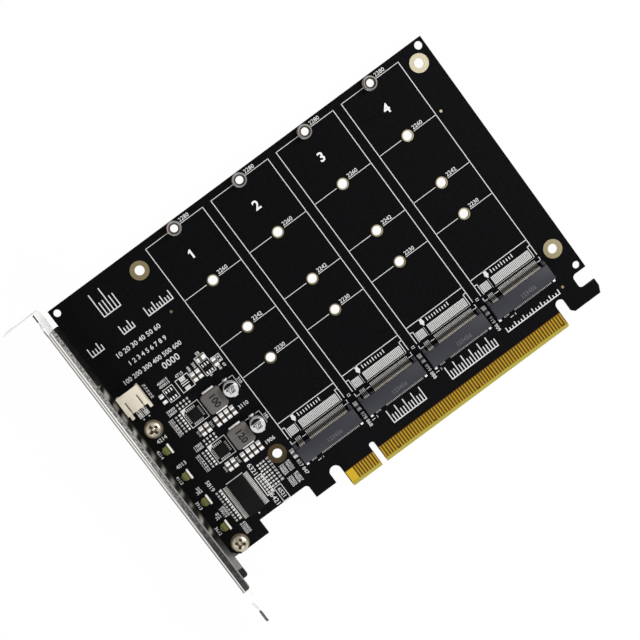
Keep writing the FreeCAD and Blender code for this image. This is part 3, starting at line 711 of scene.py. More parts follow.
class Piece:
    """Shapes in millimetres that become one mesh riding on the card."""

    def __init__(self, name):
        self.name = name
        self.shape = bmesh.new()
        self.scratch = bpy.data.meshes.new(name + "_scratch")

    def add(self, shape, places=((0.0, 0.0),), turn=0.0):
        """Copies of one shape at places on the board."""
        for x, y in places:
            copy = shape.copy()
            way = Matrix.Translation((x, y, 0.0)) @ Matrix.Rotation(turn, 4, "Z")
            bmesh.ops.transform(copy, matrix=way, verts=copy.verts[:])
            copy.to_mesh(self.scratch)
            copy.free()
            self.shape.from_mesh(self.scratch)
        shape.free()

    def copy_node(self, node, edge, segments):
        """A node's own shape, its sharp edges rounded."""
        shape = bmesh.new()
        shape.from_mesh(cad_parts[node].data)
        bmesh.ops.scale(shape, vec=(1 / MM,) * 3, verts=shape.verts[:])
        bmesh.ops.remove_doubles(shape, verts=shape.verts[:], dist=1e-4)
        bmesh.ops.dissolve_limit(
            shape, angle_limit=math.radians(1), verts=shape.verts[:], edges=shape.edges[:]
        )
        sharp = [e for e in shape.edges if e.is_manifold and e.calc_face_angle() > SMOOTH_BELOW]
        bmesh.ops.bevel(
            shape, geom=sharp, offset=edge, segments=segments, profile=0.5,
            affect="EDGES", material=-1, clamp_overlap=True,
        )
        self.add(shape)

    def leave(self, *finishes, slot=None, replaces=()):
        """Finished object, in metres, riding on the card."""
        bmesh.ops.scale(self.shape, vec=(MM,) * 3, verts=self.shape.verts[:])
        data = bpy.data.meshes.new(self.name)
        self.shape.to_mesh(data)
        self.shape.free()
        bpy.data.meshes.remove(self.scratch)
        for finish in finishes:
            data.materials.append(finish)
        data.polygons.foreach_set("use_smooth", [True] * len(data.polygons))
        data.set_sharp_from_angle(angle=SMOOTH_BELOW)
        piece = bpy.data.objects.new(self.name, data)
        bpy.context.collection.objects.link(piece)
        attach(piece, BODY)
        if replaces:
            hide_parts(*replaces)


def rounded(name, nodes, edge, finish, slot, segments=2):
    """Piece that stands in for some nodes: their own shapes with the edges rounded."""
    piece = Piece(name)
    for node in nodes:
        piece.copy_node(node, edge, segments)
    piece.leave(finish, slot=slot, replaces=nodes)


class Print:
    """Flat marks that are gathered into one printed piece."""

    def __init__(self, name, height, base=0.0):
        self.piece = Piece(name)
        self.low, self.high = base, base + height
        self.next = 10
        self.shapes = {}

    def bar(self, x0, x1, y0, y1):
        """Filled rectangle between two sides in any order."""
        left, right = sorted((x0, x1))
        self.piece.add(block(left, right, y0, y1, self.low, self.high))

    def frame(self, x0, x1, y0, y1, line=0.2):
        """Rectangle drawn with a line."""
        for y in (y0, y1):
            self.bar(x0 - line / 2, x1 + line / 2, y - line / 2, y + line / 2)
        for x in (x0, x1):
            self.bar(x - line / 2, x + line / 2, y0 + line / 2, y1 - line / 2)

    def shape(self, points):
        """Filled outline."""
        self.piece.add(prism([(x, y, self.low) for x, y in points], (0, 0, self.high - self.low)))

    def words(self, text, x, y, height, turn=0.0, weight=0.0):
        """Numerals centred on a place."""
        key = (text, height, weight)
        if key not in self.shapes:
            self.shapes[key] = lettering(text, height, self.low, self.high, weight)
        self.piece.add(self.shapes[key].copy(), [(x, y)], turn=turn)

    def number(self, x0, x1, y0, y1):
        """Plain running number that fills a rectangle, turned where that is upright."""
        width, depth = x1 - x0, y1 - y0
        upright = depth > width
        height, run = (width, depth) if upright else (depth, width)
        digits = max(1, round(run / (height * 0.68)))
        text = str(self.next * 10 ** max(0, digits - 2) + self.next // 3)[:digits]
        self.next = self.next + 1 if self.next < 98 else 10
        turn = -math.pi / 2 if upright else 0.0
        self.words(text, (x0 + x1) / 2, (y0 + y1) / 2, height * 0.92, turn, 0.012)

    def numbers(self, *boxes):
        """Plain running numbers in several rectangles."""
        for box in boxes:
            self.number(*box)

    def leave(self, finish):
        """Finished print, in one ink."""
        for shape in self.shapes.values():
            shape.free()
        self.piece.leave(finish)


def dress(node, finish):
    """New finish on a node that keeps its own shape."""
    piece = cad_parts[node]
    if not piece.material_slots:
        piece.data.materials.append(finish)
    for slot in piece.material_slots:
        slot.material = finish


class Bench:
    """Finishes that several pieces share, made once."""

    made = {}

    @classmethod
    def get(cls, name):
        """Shared finish of a name, which is made when it is first asked for."""
        if name not in cls.made:
            scene = bpy.context.scene
            board, metal, plastic = scene.card_board, scene.card_metal, scene.card_plastic
            recipes = {
                "ink": lambda: ink_finish("print_ink", board.ink),
                "bright_ink": lambda: ink_finish("number_ink", board.bright_ink),
                "ring": lambda: ring_finish(board),
                "pad": lambda: worn_metal("screw_rim", board.screw_pad, 0.4, metallic=0.6),
                "tin": lambda: worn_metal("solder_tin", metal.tin, 0.4, metallic=0.05),
                "pad_tin": lambda: worn_metal("pad_tin", metal.pad_tin, 0.45, metallic=0.15),
                "contact": lambda: contact_finish(metal),
                "recess": lambda: worn_metal("shaded_recess", metal.recess, 0.4, metallic=0.7),
                "faint": lambda: moulded("faint_ink", board.faint, 0.6, 3.0, 0.002),
                "mark": lambda: moulded("figure_ink", plastic.figure, 0.8, 3.0, 0.002),
                "chip": lambda: moulded("chip_mould", plastic.chip, 0.6, 6.0, 0.004, 0.12, 0.07),
                "socket": lambda: moulded("socket_mould", plastic.socket, 0.5, 4.0, 0.006),
            }
            cls.made[name] = recipes[name]()
        return cls.made[name]


def grid(x0, y0, columns, rows, step_x, step_y):
    """Places of an even grid."""
    return [(x0 + i * step_x, y0 + j * step_y) for i in range(columns) for j in range(rows)]


# ---------------------------------------------------------------- operators
class Maker(bpy.types.Operator):
    """Options that every maker shares."""

    bl_options = {"REGISTER", "UNDO"}


class CARD_OT_board(Maker):
    """Solder mask on the board and gold on its edge."""

    bl_idname = "card.board"
    bl_label = "Board and gold edge"

    def execute(self, context):
        board = context.scene.card_board
        dress("circuit_board", board_finish(board))
        gold = gold_finish(board)
        dress("edge_fingers_front", gold)
        dress("edge_fingers_back", gold)
        return {"FINISHED"}


class CARD_OT_rings(Maker):
    """Plated rings on both faces and the linings of the large holes."""

    bl_idname = "card.rings"
    bl_label = "Plated rings"

    def execute(self, context):
        corners = [(x, y) for x in corner_xs for y in corner_ys]
        holes = [(x, y) for x in drive_xs for y in drive_rows[1:]]
        faces = ((0.0, plating), (back_z - plating, back_z))
        piece = Piece("plated_rings")
        for z0, z1 in faces:
            piece.add(ring(mount_hole, 3.05, z0, z1), corners)
            piece.add(ring(drive_hole, 1.87, z0, z1), holes)
            piece.add(ring(drive_hole, 2.25, z0, z1), nut_places)
        piece.add(ring(mount_hole - 0.04, mount_hole, back_z, 0.0), corners)
        piece.leave(Bench.get("ring"), slot="gold")
        rims = Piece("screw_rims")
        for z0, z1 in faces:
            rims.add(ring(mount_hole, 3.0, z0, z1), screw_places)
        rims.leave(Bench.get("pad"), slot="gold")
        return {"FINISHED"}


class CARD_OT_drive_print(Maker):
    """Outlines, length marks, numbers and key marks of the four drive places."""

    bl_idname = "card.drive_print"
    bl_label = "Drive outlines and marks"

    def outline(self, x, line, marks):
        """Sides, hooks and length lines of one drive place."""
        half = line / 2
        for side in (-1, 1):
            edge, inner = x + side * 10.9, x + side * 9.8
            marks.bar(edge - half, edge + half, 24.4, drive_rows[0] + half)
            marks.bar(edge, inner, 28.05, 28.3)
            marks.bar(inner - 0.12, inner + 0.12, 24.3, 28.3)
            marks.bar(edge - 0.12, edge + 0.12, 22.3, 23.6)
            marks.bar(edge, x + side * 9.4, 22.3, 22.54)
            for y in drive_rows:
                marks.bar(edge, x + side * 2.4, y - half * 0.8, y + half * 0.8)
        marks.bar(x - 10.9, x + 10.9, 30.13, 30.37)
        marks.bar(x - 7.0, x - 5.5, 22.3, 22.54)

    def key(self, x, marks):
        """Contact strokes and the key of one socket."""
        for first, last, count in ((-9.38, -6.6, 6), (-5.05, 9.25, 29)):
            for i in range(count):
                stroke = x + first + i * contact_pitch
                marks.bar(stroke, stroke + 0.3, 24.75, 27.2)
            for y in (24.6, 27.2):
                marks.bar(x + first, x + last, y, y + 0.15)
        marks.bar(x - 5.4, x + 9.7, 24.1, 24.2)
        marks.bar(x - 6.15, x - 6.05, 24.3, 27.5)
        outline = [(-6.15, 30.3), (-6.15, 29.3), (-6.4, 28.8), (-5.62, 27.6), (-4.85, 28.8),
                   (-5.1, 29.3), (-5.1, 30.3)]
        marks.shape([(x + a, b) for a, b in outline])
        for i in range(9):
            marks.bar(x - 3.9 + i * 1.0, x - 3.6 + i * 1.0, 28.3, 29.3 if i % 4 else 29.6)

    def execute(self, context):
        board = context.scene.card_board
        outlines = Print("drive_outlines", board.ink_height)
        keys = Print("key_marks", board.ink_height)
        numbers = Print("drive_numbers", board.ink_height)
        flagged = [(-0.25, -1.5), (0.38, -1.5), (0.38, 1.5), (-0.05, 1.5), (-0.8, 0.9),
                   (-0.8, 0.35), (-0.25, 0.68)]
        for number, x in enumerate(drive_xs, start=1):
            self.outline(x, board.line_width, outlines)
            self.key(x, keys)
            if number == 1:
                numbers.shape([(x - 0.4 + a, 88.9 + b) for a, b in flagged])
            else:
                numbers.words(str(number), x - 0.4, 88.9, 3.05, weight=0.1)
            for drive, y in zip(drive_lengths, drive_rows):
                outlines.words("22%.0f" % drive, x + 4.35, y + 1.0, 1.3, weight=0.02)
        outlines.leave(Bench.get("ink"))
        keys.leave(Bench.get("ink"))
        numbers.leave(Bench.get("bright_ink"))
        return {"FINISHED"}


class CARD_OT_part_print(Maker):
    """Frames and plain running numbers beside the small parts."""

    bl_idname = "card.part_print"
    bl_label = "Part frames and numbers"

    def stage(self, y, marks):
        """Print of one power stage, round the middle line of its inductor."""
        marks.frame(-41.6, -35.2, y - 3.25, y + 3.2)
        marks.shape([(-41.5, y + 3.1), (-41.5, y + 1.4), (-39.8, y + 3.1)])
        for i in range(6):
            marks.number(-46.7, -44.7, y + 1.95 - i * 1.04, y + 2.85 - i * 1.04)
        for i in range(2):
            marks.number(-45.5, -42.1, y + 3.65 + i * 1.1, y + 4.6 + i * 1.1)
        for x in (-27.2, -23.4):
            marks.bar(x, x + 1.5, y + 2.65, y + 2.85)
        marks.bar(-22.0, -21.8, y - 1.4, y + 2.85)
        marks.shape([(-21.8, y - 1.4), (-22.0, y - 1.4), (-22.7, y - 2.5), (-22.55, y - 2.6)])
        marks.numbers(
            (-21.6, -20.5, y - 0.9, y + 1.3), (-26.6, -22.8, y - 7.5, y - 6.1),
            (-41.6, -40.8, y - 6.9, y - 4.8), (-36.7, -35.8, y - 7.0, y - 4.6),
        )

    def lamps(self, marks):
        """Numbers beside the lamps."""
        for _, y in centres(solids("lamp_lenses")):
            if y > 30.0:
                marks.number(-53.4, -49.4, y + 2.9, y + 4.3)
            else:
                marks.number(-53.3, -50.8, y + 2.8, y + 3.9)
                marks.number(-52.6, -51.1, y + 4.0, y + 5.0)
            marks.number(-55.35, -54.2, y - 1.4, y + 1.4)

    def drivers(self, marks):
        """Print round the driver chips and the header's pads."""
        for x in (-40.4, -26.55):
            marks.frame(x - 1.75, x + 1.75, 55.6, 60.1)
        marks.frame(-37.3, -32.75, 55.7, 60.2)
        marks.frame(-28.4, -24.9, 60.15, 62.3)
        marks.frame(-22.65, -21.35, 56.9, 59.3)
        for y in (58.2, 57.45):
            marks.bar(-36.3, -33.7, y, y + 0.3)
        marks.numbers(
            (-27.4, -25.8, 62.5, 63.6), (-42.4, -38.6, 60.8, 61.8), (-42.4, -38.6, 62.0, 63.0),
            (-36.7, -33.4, 60.6, 61.7),
        )
        marks.numbers(*((x - 0.5, x + 0.5, 59.8, 61.7) for x in (-31.65, -29.65)))
        marks.numbers(*((x - 0.5, x + 0.5, 54.7, 56.1) for x in (-27.0, -23.5, -21.9)))
        for i in range(5):
            marks.number(-46.3, -45.3, 60.1 + i * 1.1, 60.95 + i * 1.1)
        for x in (-52.0, -50.0):
            marks.frame(x - 0.7, x + 0.7, 57.2, 59.5, 0.18)
            marks.bar(x - 0.2, x + 0.2, 56.2, 56.6)

    def lower(self, marks):
        """Print round the clock chip and the small parts beside it."""
        marks.bar(-44.0, -37.7, 24.55, 24.85)
        marks.bar(-41.2, -40.8, 11.0, 11.5)
        marks.bar(-46.35, -46.15, 13.2, 24.6)
        marks.frame(-35.6, -33.2, 14.0, 20.9, 0.3)
        marks.frame(-32.7, -30.2, 9.5, 14.7)
        marks.numbers(
            (-49.1, -47.6, 25.4, 29.1), (-50.6, -49.5, 16.3, 19.9), (-49.4, -48.6, 16.3, 19.9),
            (-48.2, -47.2, 8.2, 12.0), (-47.1, -46.1, 8.2, 12.0), (-35.5, -33.8, 21.4, 25.6),
            (-35.3, -33.6, 9.6, 13.7), (-32.2, -30.8, 10.2, 14.0),
        )
        for i in range(8):
            marks.number(-29.4, -28.3, 15.1 + i * 1.15, 15.9 + i * 1.15)
        for x0 in (-27.7, -26.75, -25.4, -24.45):
            marks.numbers((x0, x0 + 0.9, 15.7, 19.6), (x0, x0 + 0.9, 11.2, 15.0))

    def sockets(self, marks):
        """Numbers of the sockets and of the small parts between them."""
        for number, x in enumerate(drive_xs, start=1):
            label = x - 9.3 if number in (2, 3) else x - 5.3
            marks.words(str(number), label, 13.4, 0.8)
            marks.bar(label - 2.0, label - 0.8, 13.3, 13.5)
            gap = x - 12.45 if number == 1 else x - 12.5
            for i in range(2):
                marks.number(gap - 0.65, gap + 0.65, 11.9 + i * 2.95, 14.7 + i * 2.95)
            if number > 1:
                marks.frame(gap - 0.4, gap + 0.4, 23.9, 24.6, 0.15)

    def plain_fill(self, marks):
        """Plain numerals and ticks where the card carries wording."""
        lines = ((-38.85, 77.05, 1.6, "10 20 30 40 50 60"), (-38.3, 73.0, 1.5, "1 2 3 4 5 6 7 8 9"),
                 (-39.45, 69.0, 1.5, "100 200 300 400 500 600"), (-34.5, 66.0, 2.2, "0000"))
        for x, y, height, text in lines:
            marks.words(text, x, y, height, weight=0.02)
        tick = 0.17
        for x0, x1, y0, y1, count in ((-42.6, -36.4, 89.4, 97.6, 6), (-53.0, -48.6, 81.5, 84.4, 5),
                                      (-41.0, -36.8, 81.5, 84.4, 5), (-31.4, -22.2, 81.5, 84.4, 10),
                                      (9.8, 22.4, 8.8, 13.2, 13), (32.6, 50.4, 8.8, 13.2, 18),
                                      (55.4, 75.6, 10.3, 11.7, 19)):
            step = (x1 - x0) / (count - 1)
            for i in range(count):
                x = x0 + i * step
                tall = y1 if i % 3 == 0 else y0 + (y1 - y0) * 0.55
                marks.bar(x - tick, x + tick, y0, tall)
            marks.bar(x0 - tick, x1 + tick, y0 - tick * 2, y0)

    def execute(self, context):
        board = context.scene.card_board
        marks = Print("part_marks", board.ink_height)
        for _, y in centres(solids("inductor_cores")):
            self.stage(y, marks)
        self.lamps(marks)
        self.drivers(marks)
        self.lower(marks)
        self.sockets(marks)
        marks.leave(Bench.get("ink"))
        fill = Print("plain_marks", board.ink_height)
        self.plain_fill(fill)
        fill.leave(Bench.get("ink"))
        return {"FINISHED"}


class CARD_OT_small_parts(Maker):
    """Small chip parts, bare pads, solder fillets and test points."""

    bl_idname = "card.small_parts"
    bl_label = "Small parts and pads"

    def execute(self, context):
        bodies = Piece("small_part_bodies")
        ends = Piece("small_part_ends")
        pads = Piece("solder_pads")
        fillets = Piece("solder_fillets")
        body = centred(0.6, 0.5, 0.03, 0.34)
        cap = block(0.28, 0.52, -0.27, 0.27, 0.0, 0.37)
        join(cap, prism([(0.5, -0.33, 0.0), (1.0, -0.33, 0.0), (0.5, -0.33, 0.3)], (0, 0.66, 0)))

        def chip(places, turn=0.0):
            """Small two-ended parts at places."""
            bodies.add(body.copy(), places, turn=turn)
            for side in (0.0, math.pi):
                ends.add(cap.copy(), places, turn=turn + side)

        def pad(width, depth, places):
            """Bare pads at places."""
            pads.add(centred(width, depth, 0.0, 0.03), places)

        for _, y in centres(solids("inductor_cores")):
            chip(grid(-43.15, y - 2.75, 1, 6, 0.0, 1.04))
            chip(grid(-41.2, y + 4.75, 4, 1, 1.25, 0.0), math.pi / 2)
            pad(0.3, 0.9, grid(-40.15, y + 2.15, 6, 1, 0.6, 0.0))
            pad(0.3, 0.8, grid(-40.15, y - 2.55, 6, 1, 0.6, 0.0))
            pad(0.75, 0.3, grid(-40.95, y - 1.7, 1, 6, 0.0, 0.6))
            pad(0.7, 0.3, grid(-36.25, y - 1.7, 1, 6, 0.0, 0.6))
            pad(1.7, 0.6, [(-24.65, y + 2.95), (-24.65, y - 2.95)])
        chip(grid(-47.4, 13.6, 1, 11, 0.0, 1.05))
        pad(1.3, 0.32, grid(-45.0, 12.5, 1, 24, 0.0, 0.5) + grid(-36.95, 12.5, 1, 24, 0.0, 0.5))
        chip([(-22.0, 57.85)], math.pi / 2)
        pad(0.7, 0.7, grid(-34.7, 14.7, 2, 6, 1.0, 1.05))
        pad(0.75, 0.6, grid(-32.5, 15.5, 3, 8, 1.1, 1.15))
        pad(1.9, 1.3, [(-35.1, 59.45), (-35.1, 56.2)])
        pad(1.1, 1.2, [(-52.1, 58.15), (-50.0, 58.15)])
        fillet = prism([(0.0, -0.72, 0.0), (0.62, -0.72, 0.0), (0.0, -0.72, 0.75)], (0, 1.44, 0))
        reach = 1.03
        for low, high in solids("ceramic_capacitor_bodies") + solids("large_resistor_body"):
            x, y = centres([(low, high)])[0]
            wide = high.x - low.x > high.y - low.y
            for side in (0.0, math.pi):
                way = side + (math.pi / 2 if wide else 0.0)
                place = (x + reach * math.cos(way), y + reach * math.sin(way))
                fillets.add(fillet.copy(), [place], turn=way)
        fillet.free()
        body.free()
        cap.free()
        bodies.leave(Bench.get("chip"))
        fillets.leave(Bench.get("tin"))
        ends.leave(Bench.get("pad_tin"))
        pads.leave(Bench.get("pad_tin"))
        points = Piece("test_points")
        points.add(ring(0.0, 0.46, 0.0, 0.03, 16), [(-25.2, 78.3), (78.75, 78.4), (77.45, 11.3)])
        points.leave(Bench.get("ring"))
        return {"FINISHED"}


class CARD_OT_standoffs(Maker):
    """Soldered nuts with a chamfered mouth and a solder fillet."""

    bl_idname = "card.standoffs"
    bl_label = "Standoff nuts"

    def execute(self, context):
        metal = context.scene.card_metal
        top = extent("drive_standoffs")[1].z
        outline = [
            (nut_bore, 0.0), (nut_radius + 0.2, 0.0), (nut_radius + 0.05, 0.12),
            (nut_radius, 0.3), (nut_radius, top - 0.12), (nut_radius - 0.12, top),
            (nut_bore + 0.53, top), (nut_bore, top - 0.5),
        ]
        piece = Piece("standoff_nuts")
        nut = turned(outline, 40)
        for face in nut.faces:
            middle = face.calc_center_median()
            # Bore and mouth take the recess colour, painted shade.
            face.material_index = int(middle.xy.length < 1.75 and face.normal.z > -0.5)
        piece.add(nut, nut_places)
        finish = worn_metal("tinned_nut", metal.nut, 0.24, (0.2, 0.2, 4.0))
        piece.leave(finish, Bench.get("recess"), slot="tin_nut", replaces=["drive_standoffs"])
        return {"FINISHED"}


class CARD_OT_sockets(Maker):
    """Drive sockets with their contacts, tails and hold-downs."""

    bl_idname = "card.sockets"
    bl_label = "Drive sockets"

    def execute(self, context):
        offsets = [9.0 - contact_pitch * i for i in range(37) if not 29 <= i <= 32]
        foot = [(5.05, 0.08), (4.2, 0.08), (3.75, 0.3), (3.5, 0.95), (3.25, 1.15), (2.4, 1.2)]
        tip = [(2.9, 1.5), (2.87, 2.2), (2.62, 2.42), (2.0, 2.5), (1.2, 2.42)]
        tail = [(-4.05, 0.08), (-3.3, 0.08), (-2.7, 0.45)]
        figures = Print("socket_figures", 0.01, extent("drive_socket_1_housing")[1].z)
        for x in drive_xs:
            figures.words("123456", x + 1.5, 17.2, 1.35, weight=0.03)
        figures.leave(Bench.get("faint"))
        for name, x in zip(socket_names, drive_xs):
            rounded(
                name + "_shell", [name + "_housing"], 0.09, Bench.get("socket"), "socket_plastic"
            )
            row = [(x + offset, seat_y) for offset in offsets]
            metalwork = Piece(name + "_metalwork")
            metalwork.add(bent_strip(foot, 0.14, 0.25), row)
            metalwork.add(bent_strip(tip, 0.12, 0.25), row)
            metalwork.add(bent_strip(tail, 0.14, 0.22), [(px + 0.25, py) for px, py in row])
            metalwork.leave(
                Bench.get("contact"), slot="contact_tin", replaces=[name + "_contacts"]
            )
            rounded(name + "_anchors", [name + "_holddowns"], 0.08, Bench.get("tin"), "tin")
        return {"FINISHED"}


class CARD_OT_bracket(Maker):
    """Nickel-plated bracket with rounded sheet edges."""

    bl_idname = "card.bracket"
    bl_label = "Slot bracket"

    def execute(self, context):
        metal = context.scene.card_metal
        nickel = bracket_finish(metal)
        rounded("bracket_sheet", ["slot_bracket"], metal.sheet_edge, nickel, "bracket_steel")
        return {"FINISHED"}


class CARD_OT_screws(Maker):
    """Pan-head screws of the bracket, each with a cross recess."""

    bl_idname = "card.screws"
    bl_label = "Bracket screws"

    def execute(self, context):
        metal = context.scene.card_metal
        outline = [
            (0.0, -4.0), (1.1, -4.0), (1.45, -3.6), (1.45, 0.0), (2.66, 0.0), (2.72, 0.15),
            (2.72, 0.65), (2.5, 1.15), (2.1, 1.55), (1.55, 1.8), (0.8, 1.9), (0.0, 1.92),
        ]
        head = turned(outline, 40)
        cross = centred(3.4, 0.95, 0.75, 3.0)
        join(cross, centred(0.95, 3.4, 0.75, 3.0))
        piece = Piece("pan_head_screws")
        # Recess walls, marked by carved(), take the recess colour: painted shade.
        for place, turn in zip(screw_places, (0.25, 0.9)):
            piece.add(carved(head, cross, 1.75, 1.5), [place], turn)
            piece.add(turned([(0.0, 0.7), (0.85, 0.7), (0.65, 1.0), (0.0, 1.35)], 16), [place])
        head.free()
        cross.free()
        finish = worn_metal("screw_nickel", metal.screw, 0.34, (1.0, 1.0, 3.0), 0.9)
        piece.leave(
            finish, Bench.get("recess"), slot="screw_nickel", replaces=["bracket_screws"]
        )
        return {"FINISHED"}


class CARD_OT_header(Maker):
    """Wire header and its pins."""

    bl_idname = "card.header"
    bl_label = "Power header"

    def execute(self, context):
        plastic = context.scene.card_plastic
        nylon = moulded("header_nylon", plastic.header, 0.45, 1.5, 0.01, 0.06)
        rounded("header_shell", ["power_header_housing"], 0.12, nylon, "header_nylon", 3)
        rounded("header_blades", ["power_header_pins"], 0.06, Bench.get("pad_tin"), "tin")
        return {"FINISHED"}


class CARD_OT_lamps(Maker):
    """Side-looking indicator lamps."""

    bl_idname = "card.lamps"
    bl_label = "Indicator lamps"

    def execute(self, context):
        plastic = context.scene.card_plastic
        white = moulded("lamp_white", plastic.lamp, 0.4, 2.0, 0.004, 0.05)
        rounded("lamp_carriers", ["lamp_bases"], 0.08, white, "lamp_white")
        resin = Finish("lamp_resin", plastic.lens, 0.18, Coat_Weight=0.5, Coat_Roughness=0.08)
        clouds = resin.noise(0.8, 2.0)
        low, high = extent("lamp_lenses")
        # Painted shade: the lens darkens from a lighter middle towards its edge.
        painted_edge_shade = (resin.axes()[0] - (low.x * 0.42 + high.x * 0.58)).size().ramp(0.25, 1.3)
        dark = shade(plastic.lens, 0.3)
        resin.set("Base Color", resin.mix(painted_edge_shade, resin.tone(clouds, 0.25), dark))
        resin.bump(clouds, 0.02)
        rounded("lamp_domes", ["lamp_lenses"], 0.25, resin.material, "lamp_lens", 4)
        return {"FINISHED"}


class CARD_OT_power(Maker):
    """Regulators, inductors and can capacitors of both power stages."""

    bl_idname = "card.power"
    bl_label = "Power stages"

    def execute(self, context):
        board = context.scene.card_board
        plastic = context.scene.card_plastic
        rounded("regulators", ["regulator_chips"], 0.06, Bench.get("chip"), "chip_black")
        core = moulded("core_powder", plastic.core, 0.6, 2.6, 0.02, 0.45)
        rounded("inductors", ["inductor_cores"], 0.22, core, "coil_grey", 3)
        figures = Print("inductor_figures", board.ink_height, extent("inductor_cores")[1].z)
        for (x, y), text in zip(centres(solids("inductor_cores")), ("120", "100")):
            figures.words(text, x, y, 2.2, -math.pi / 2, 0.09)
        figures.leave(Bench.get("mark"))
        rounded("inductor_straps", ["inductor_terminals"], 0.1, Bench.get("tin"), "tin")
        rounded("can_seats", ["can_capacitor_bases"], 0.1, Bench.get("chip"), "base_black")
        low, high = extent("can_capacitor_bodies")
        radius = (high.x - low.x) / 2
        top, foot = high.z, low.z
        outline = [
            (0.0, foot), (radius, foot), (radius, foot + 0.5), (radius - 0.22, foot + 0.8),
            (radius, foot + 1.15), (radius, top - 0.3), (radius - 0.06, top - 0.1),
            (radius - 0.2, top), (0.0, top),
        ]
        x = (low.x + high.x) / 2
        places = [(x, low.y + radius), (x, high.y - radius)]
        cans = Piece("can_shells")
        cans.add(turned(outline, 48), places)
        shell = Finish("can_aluminium", plastic.can, 0.34, 0.45)
        grain = shell.noise(3.0, 2.0)
        shell.set("Base Color", shell.tone(grain, 0.05))
        shell.set("Roughness", grain * 0.2 + 0.22)
        shell.bump(grain, 0.004)
        cans.leave(shell.material, slot="can_aluminium", replaces=["can_capacitor_bodies"])
        marks = Print("can_figures", board.ink_height, top)
        reach = radius - 0.22
        half = math.acos(1.0 / reach)
        arc = [math.pi / 2 - half + 2 * half * i / 12 for i in range(13)]
        for x, y in places:
            marks.shape([(x + reach * math.cos(a), y + reach * math.sin(a)) for a in arc])
            marks.words("4720", x - 0.1, y + 0.3, 1.0, weight=0.05)
            marks.words("160", x, y - 0.85, 1.0, weight=0.05)
        marks.leave(Bench.get("chip"))
        rounded("can_tabs", ["can_capacitor_leads"], 0.05, Bench.get("tin"), "tin")
        return {"FINISHED"}


class CARD_OT_leaded_chips(Maker):
    """Clock chip and driver chips with bent leads."""

    bl_idname = "card.leaded_chips"
    bl_label = "Leaded chips"

    def execute(self, context):
        nodes = ["clock_chip_body", "driver_chip_bodies"]
        rounded("leaded_chip_bodies", nodes, 0.08, Bench.get("chip"), "chip_black")
        low, high = extent("clock_chip_body")
        x, y = centres([(low, high)])[0]
        reach = (high.x - low.x) / 2
        leads = Piece("leaded_chip_leads")
        way = [(reach - 0.1, 0.62), (reach + 0.25, 0.6), (reach + 0.5, 0.2), (reach + 0.7, 0.09),
               (reach + 1.3, 0.08)]
        for turn in (-math.pi / 2, math.pi / 2):
            places = [(x, y + (i - 11.5) * contact_pitch) for i in range(24)]
            leads.add(bent_strip(way, 0.14, 0.24), places, turn=turn)
        leads.leave(Bench.get("pad_tin"), slot="tin", replaces=["clock_chip_leads"])
        rounded("driver_leads", ["driver_chip_leads"], 0.04, Bench.get("tin"), "tin")
        return {"FINISHED"}


class CARD_OT_chip_parts(Maker):
    """Large ceramic capacitors and the large resistor."""

    bl_idname = "card.chip_parts"
    bl_label = "Large chip parts"

    def execute(self, context):
        plastic = context.scene.card_plastic
        ceramic = moulded("capacitor_ceramic", plastic.ceramic, 0.5, 3.0, 0.005, 0.15)
        bodies = ["ceramic_capacitor_bodies"]
        rounded("capacitor_ceramics", bodies, 0.05, ceramic, "ceramic_tan")
        ends = ["ceramic_capacitor_ends", "large_resistor_ends"]
        rounded("capacitor_caps", ends, 0.1, Bench.get("tin"), "tin")
        glaze = Bench.get("chip")
        rounded("resistor_glaze", ["large_resistor_body"], 0.05, glaze, "resistor_black")
        return {"FINISHED"}


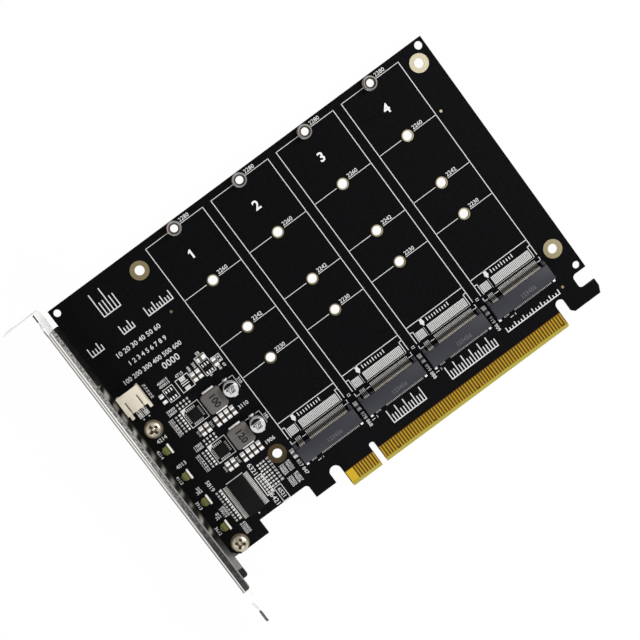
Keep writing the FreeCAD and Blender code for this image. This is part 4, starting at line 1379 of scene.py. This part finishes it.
class CARD_OT_stage(bpy.types.Operator):
    """White floor, soft lamps and the camera."""

    bl_idname = "card.stage"
    bl_label = "Stage"
    bl_options = {"REGISTER", "UNDO"}

    def lamp(self, name, power, size, place, aim):
        """Round area lamp that is turned to a place."""
        data = bpy.data.lights.new(name, "AREA")
        data.energy = power
        data.shape = "DISK"
        data.size = size
        lamp = bpy.data.objects.new(name, data)
        lamp.location = place
        lamp.rotation_euler = (Vector(aim) - Vector(place)).to_track_quat("-Z", "Y").to_euler()
        bpy.context.collection.objects.link(lamp)

    def execute(self, context):
        stage = context.scene.card_stage
        floor_z = cad_box[0][2]
        shape = bmesh.new()
        bmesh.ops.create_grid(shape, x_segments=1, y_segments=1, size=3.0)
        bmesh.ops.translate(shape, verts=shape.verts[:], vec=(0, 0, floor_z))
        data = bpy.data.meshes.new("floor")
        shape.to_mesh(data)
        shape.free()
        floor = bpy.data.objects.new("floor", data)
        bpy.context.collection.objects.link(floor)
        paper = Finish("floor_paper", (0.9, 0.9, 0.9), 0.9)
        glow = paper.node("ShaderNodeEmission", None, {"Color": (1, 1, 1, 1), "Strength": 1.0})
        path = paper.node("ShaderNodeLightPath")
        camera_ray, glossy_ray, through_ray = (
            Value(paper, path.outputs["Is %s Ray" % kind])
            for kind in ("Camera", "Glossy", "Transmission")
        )
        seen = (camera_ray + glossy_ray + through_ray).ramp(0.0, 1.0)
        mixed = paper.node(
            "ShaderNodeMixShader",
            None,
            {0: seen * stage.floor_glow, 1: paper.shader.outputs[0], 2: glow.outputs[0]},
        )
        output = paper.tree.nodes["Material Output"]
        paper.plug(output.inputs["Surface"], mixed.outputs[0])
        data.materials.append(paper.material)

        world = bpy.data.worlds.new("room")
        world.use_nodes = True
        world.node_tree.nodes["Background"].inputs["Color"].default_value = (1, 1, 1, 1)
        world.node_tree.nodes["Background"].inputs["Strength"].default_value = stage.world
        context.scene.world = world

        middle = (0.012, 0.048, 0.0)
        self.lamp("key", stage.key, 0.35, (0.55, 0.10, 0.50), middle)
        self.lamp("fill", stage.fill, 0.45, (-0.35, -0.35, 0.50), middle)

        data = bpy.data.cameras.new("camera")
        data.lens = stage.lens
        data.clip_start = 0.01
        data.clip_end = 20.0
        camera = bpy.data.objects.new("camera", data)
        camera.location = stage.camera_place
        camera.rotation_euler = Euler(stage.camera_turn)
        context.collection.objects.link(camera)
        context.scene.camera = camera
        context.scene.view_settings.view_transform = "Standard"
        return {"FINISHED"}


groups = {
    "card_board": CARD_PG_board,
    "card_metal": CARD_PG_metal,
    "card_plastic": CARD_PG_plastic,
    "card_stage": CARD_PG_stage,
}
makers = (
    CARD_OT_board,
    CARD_OT_rings,
    CARD_OT_drive_print,
    CARD_OT_part_print,
    CARD_OT_small_parts,
    CARD_OT_standoffs,
    CARD_OT_sockets,
    CARD_OT_bracket,
    CARD_OT_screws,
    CARD_OT_header,
    CARD_OT_lamps,
    CARD_OT_power,
    CARD_OT_leaded_chips,
    CARD_OT_chip_parts,
    CARD_OT_stage,
)


class CARD_PT_panel(bpy.types.Panel):
    """Sizes, colours and makers of the card."""

    bl_idname = "CARD_PT_panel"
    bl_label = "Adapter card"
    bl_space_type = "VIEW_3D"
    bl_region_type = "UI"
    bl_category = "Adapter card"

    def draw(self, context):
        for name, group in groups.items():
            box = self.layout.box()
            for key in group.__annotations__:
                box.prop(getattr(context.scene, name), key)
        for maker in makers:
            self.layout.operator(maker.bl_idname, text=maker.bl_label)


def register():
    """Adds the groups, the makers and the panel."""
    for group in groups.values():
        bpy.utils.register_class(group)
    for name, group in groups.items():
        setattr(bpy.types.Scene, name, PointerProperty(type=group))
    for maker in makers:
        bpy.utils.register_class(maker)
    bpy.utils.register_class(CARD_PT_panel)


def unregister():
    """Takes away what register() added."""
    bpy.utils.unregister_class(CARD_PT_panel)
    for maker in reversed(makers):
        bpy.utils.unregister_class(maker)
    for name in groups:
        delattr(bpy.types.Scene, name)
    for group in reversed(list(groups.values())):
        bpy.utils.unregister_class(group)


def main():
    """Makes every piece."""
    register()
    for maker in makers:
        family, action = maker.bl_idname.split(".")
        getattr(getattr(bpy.ops, family), action)()


if __name__ == "__main__":
    main()
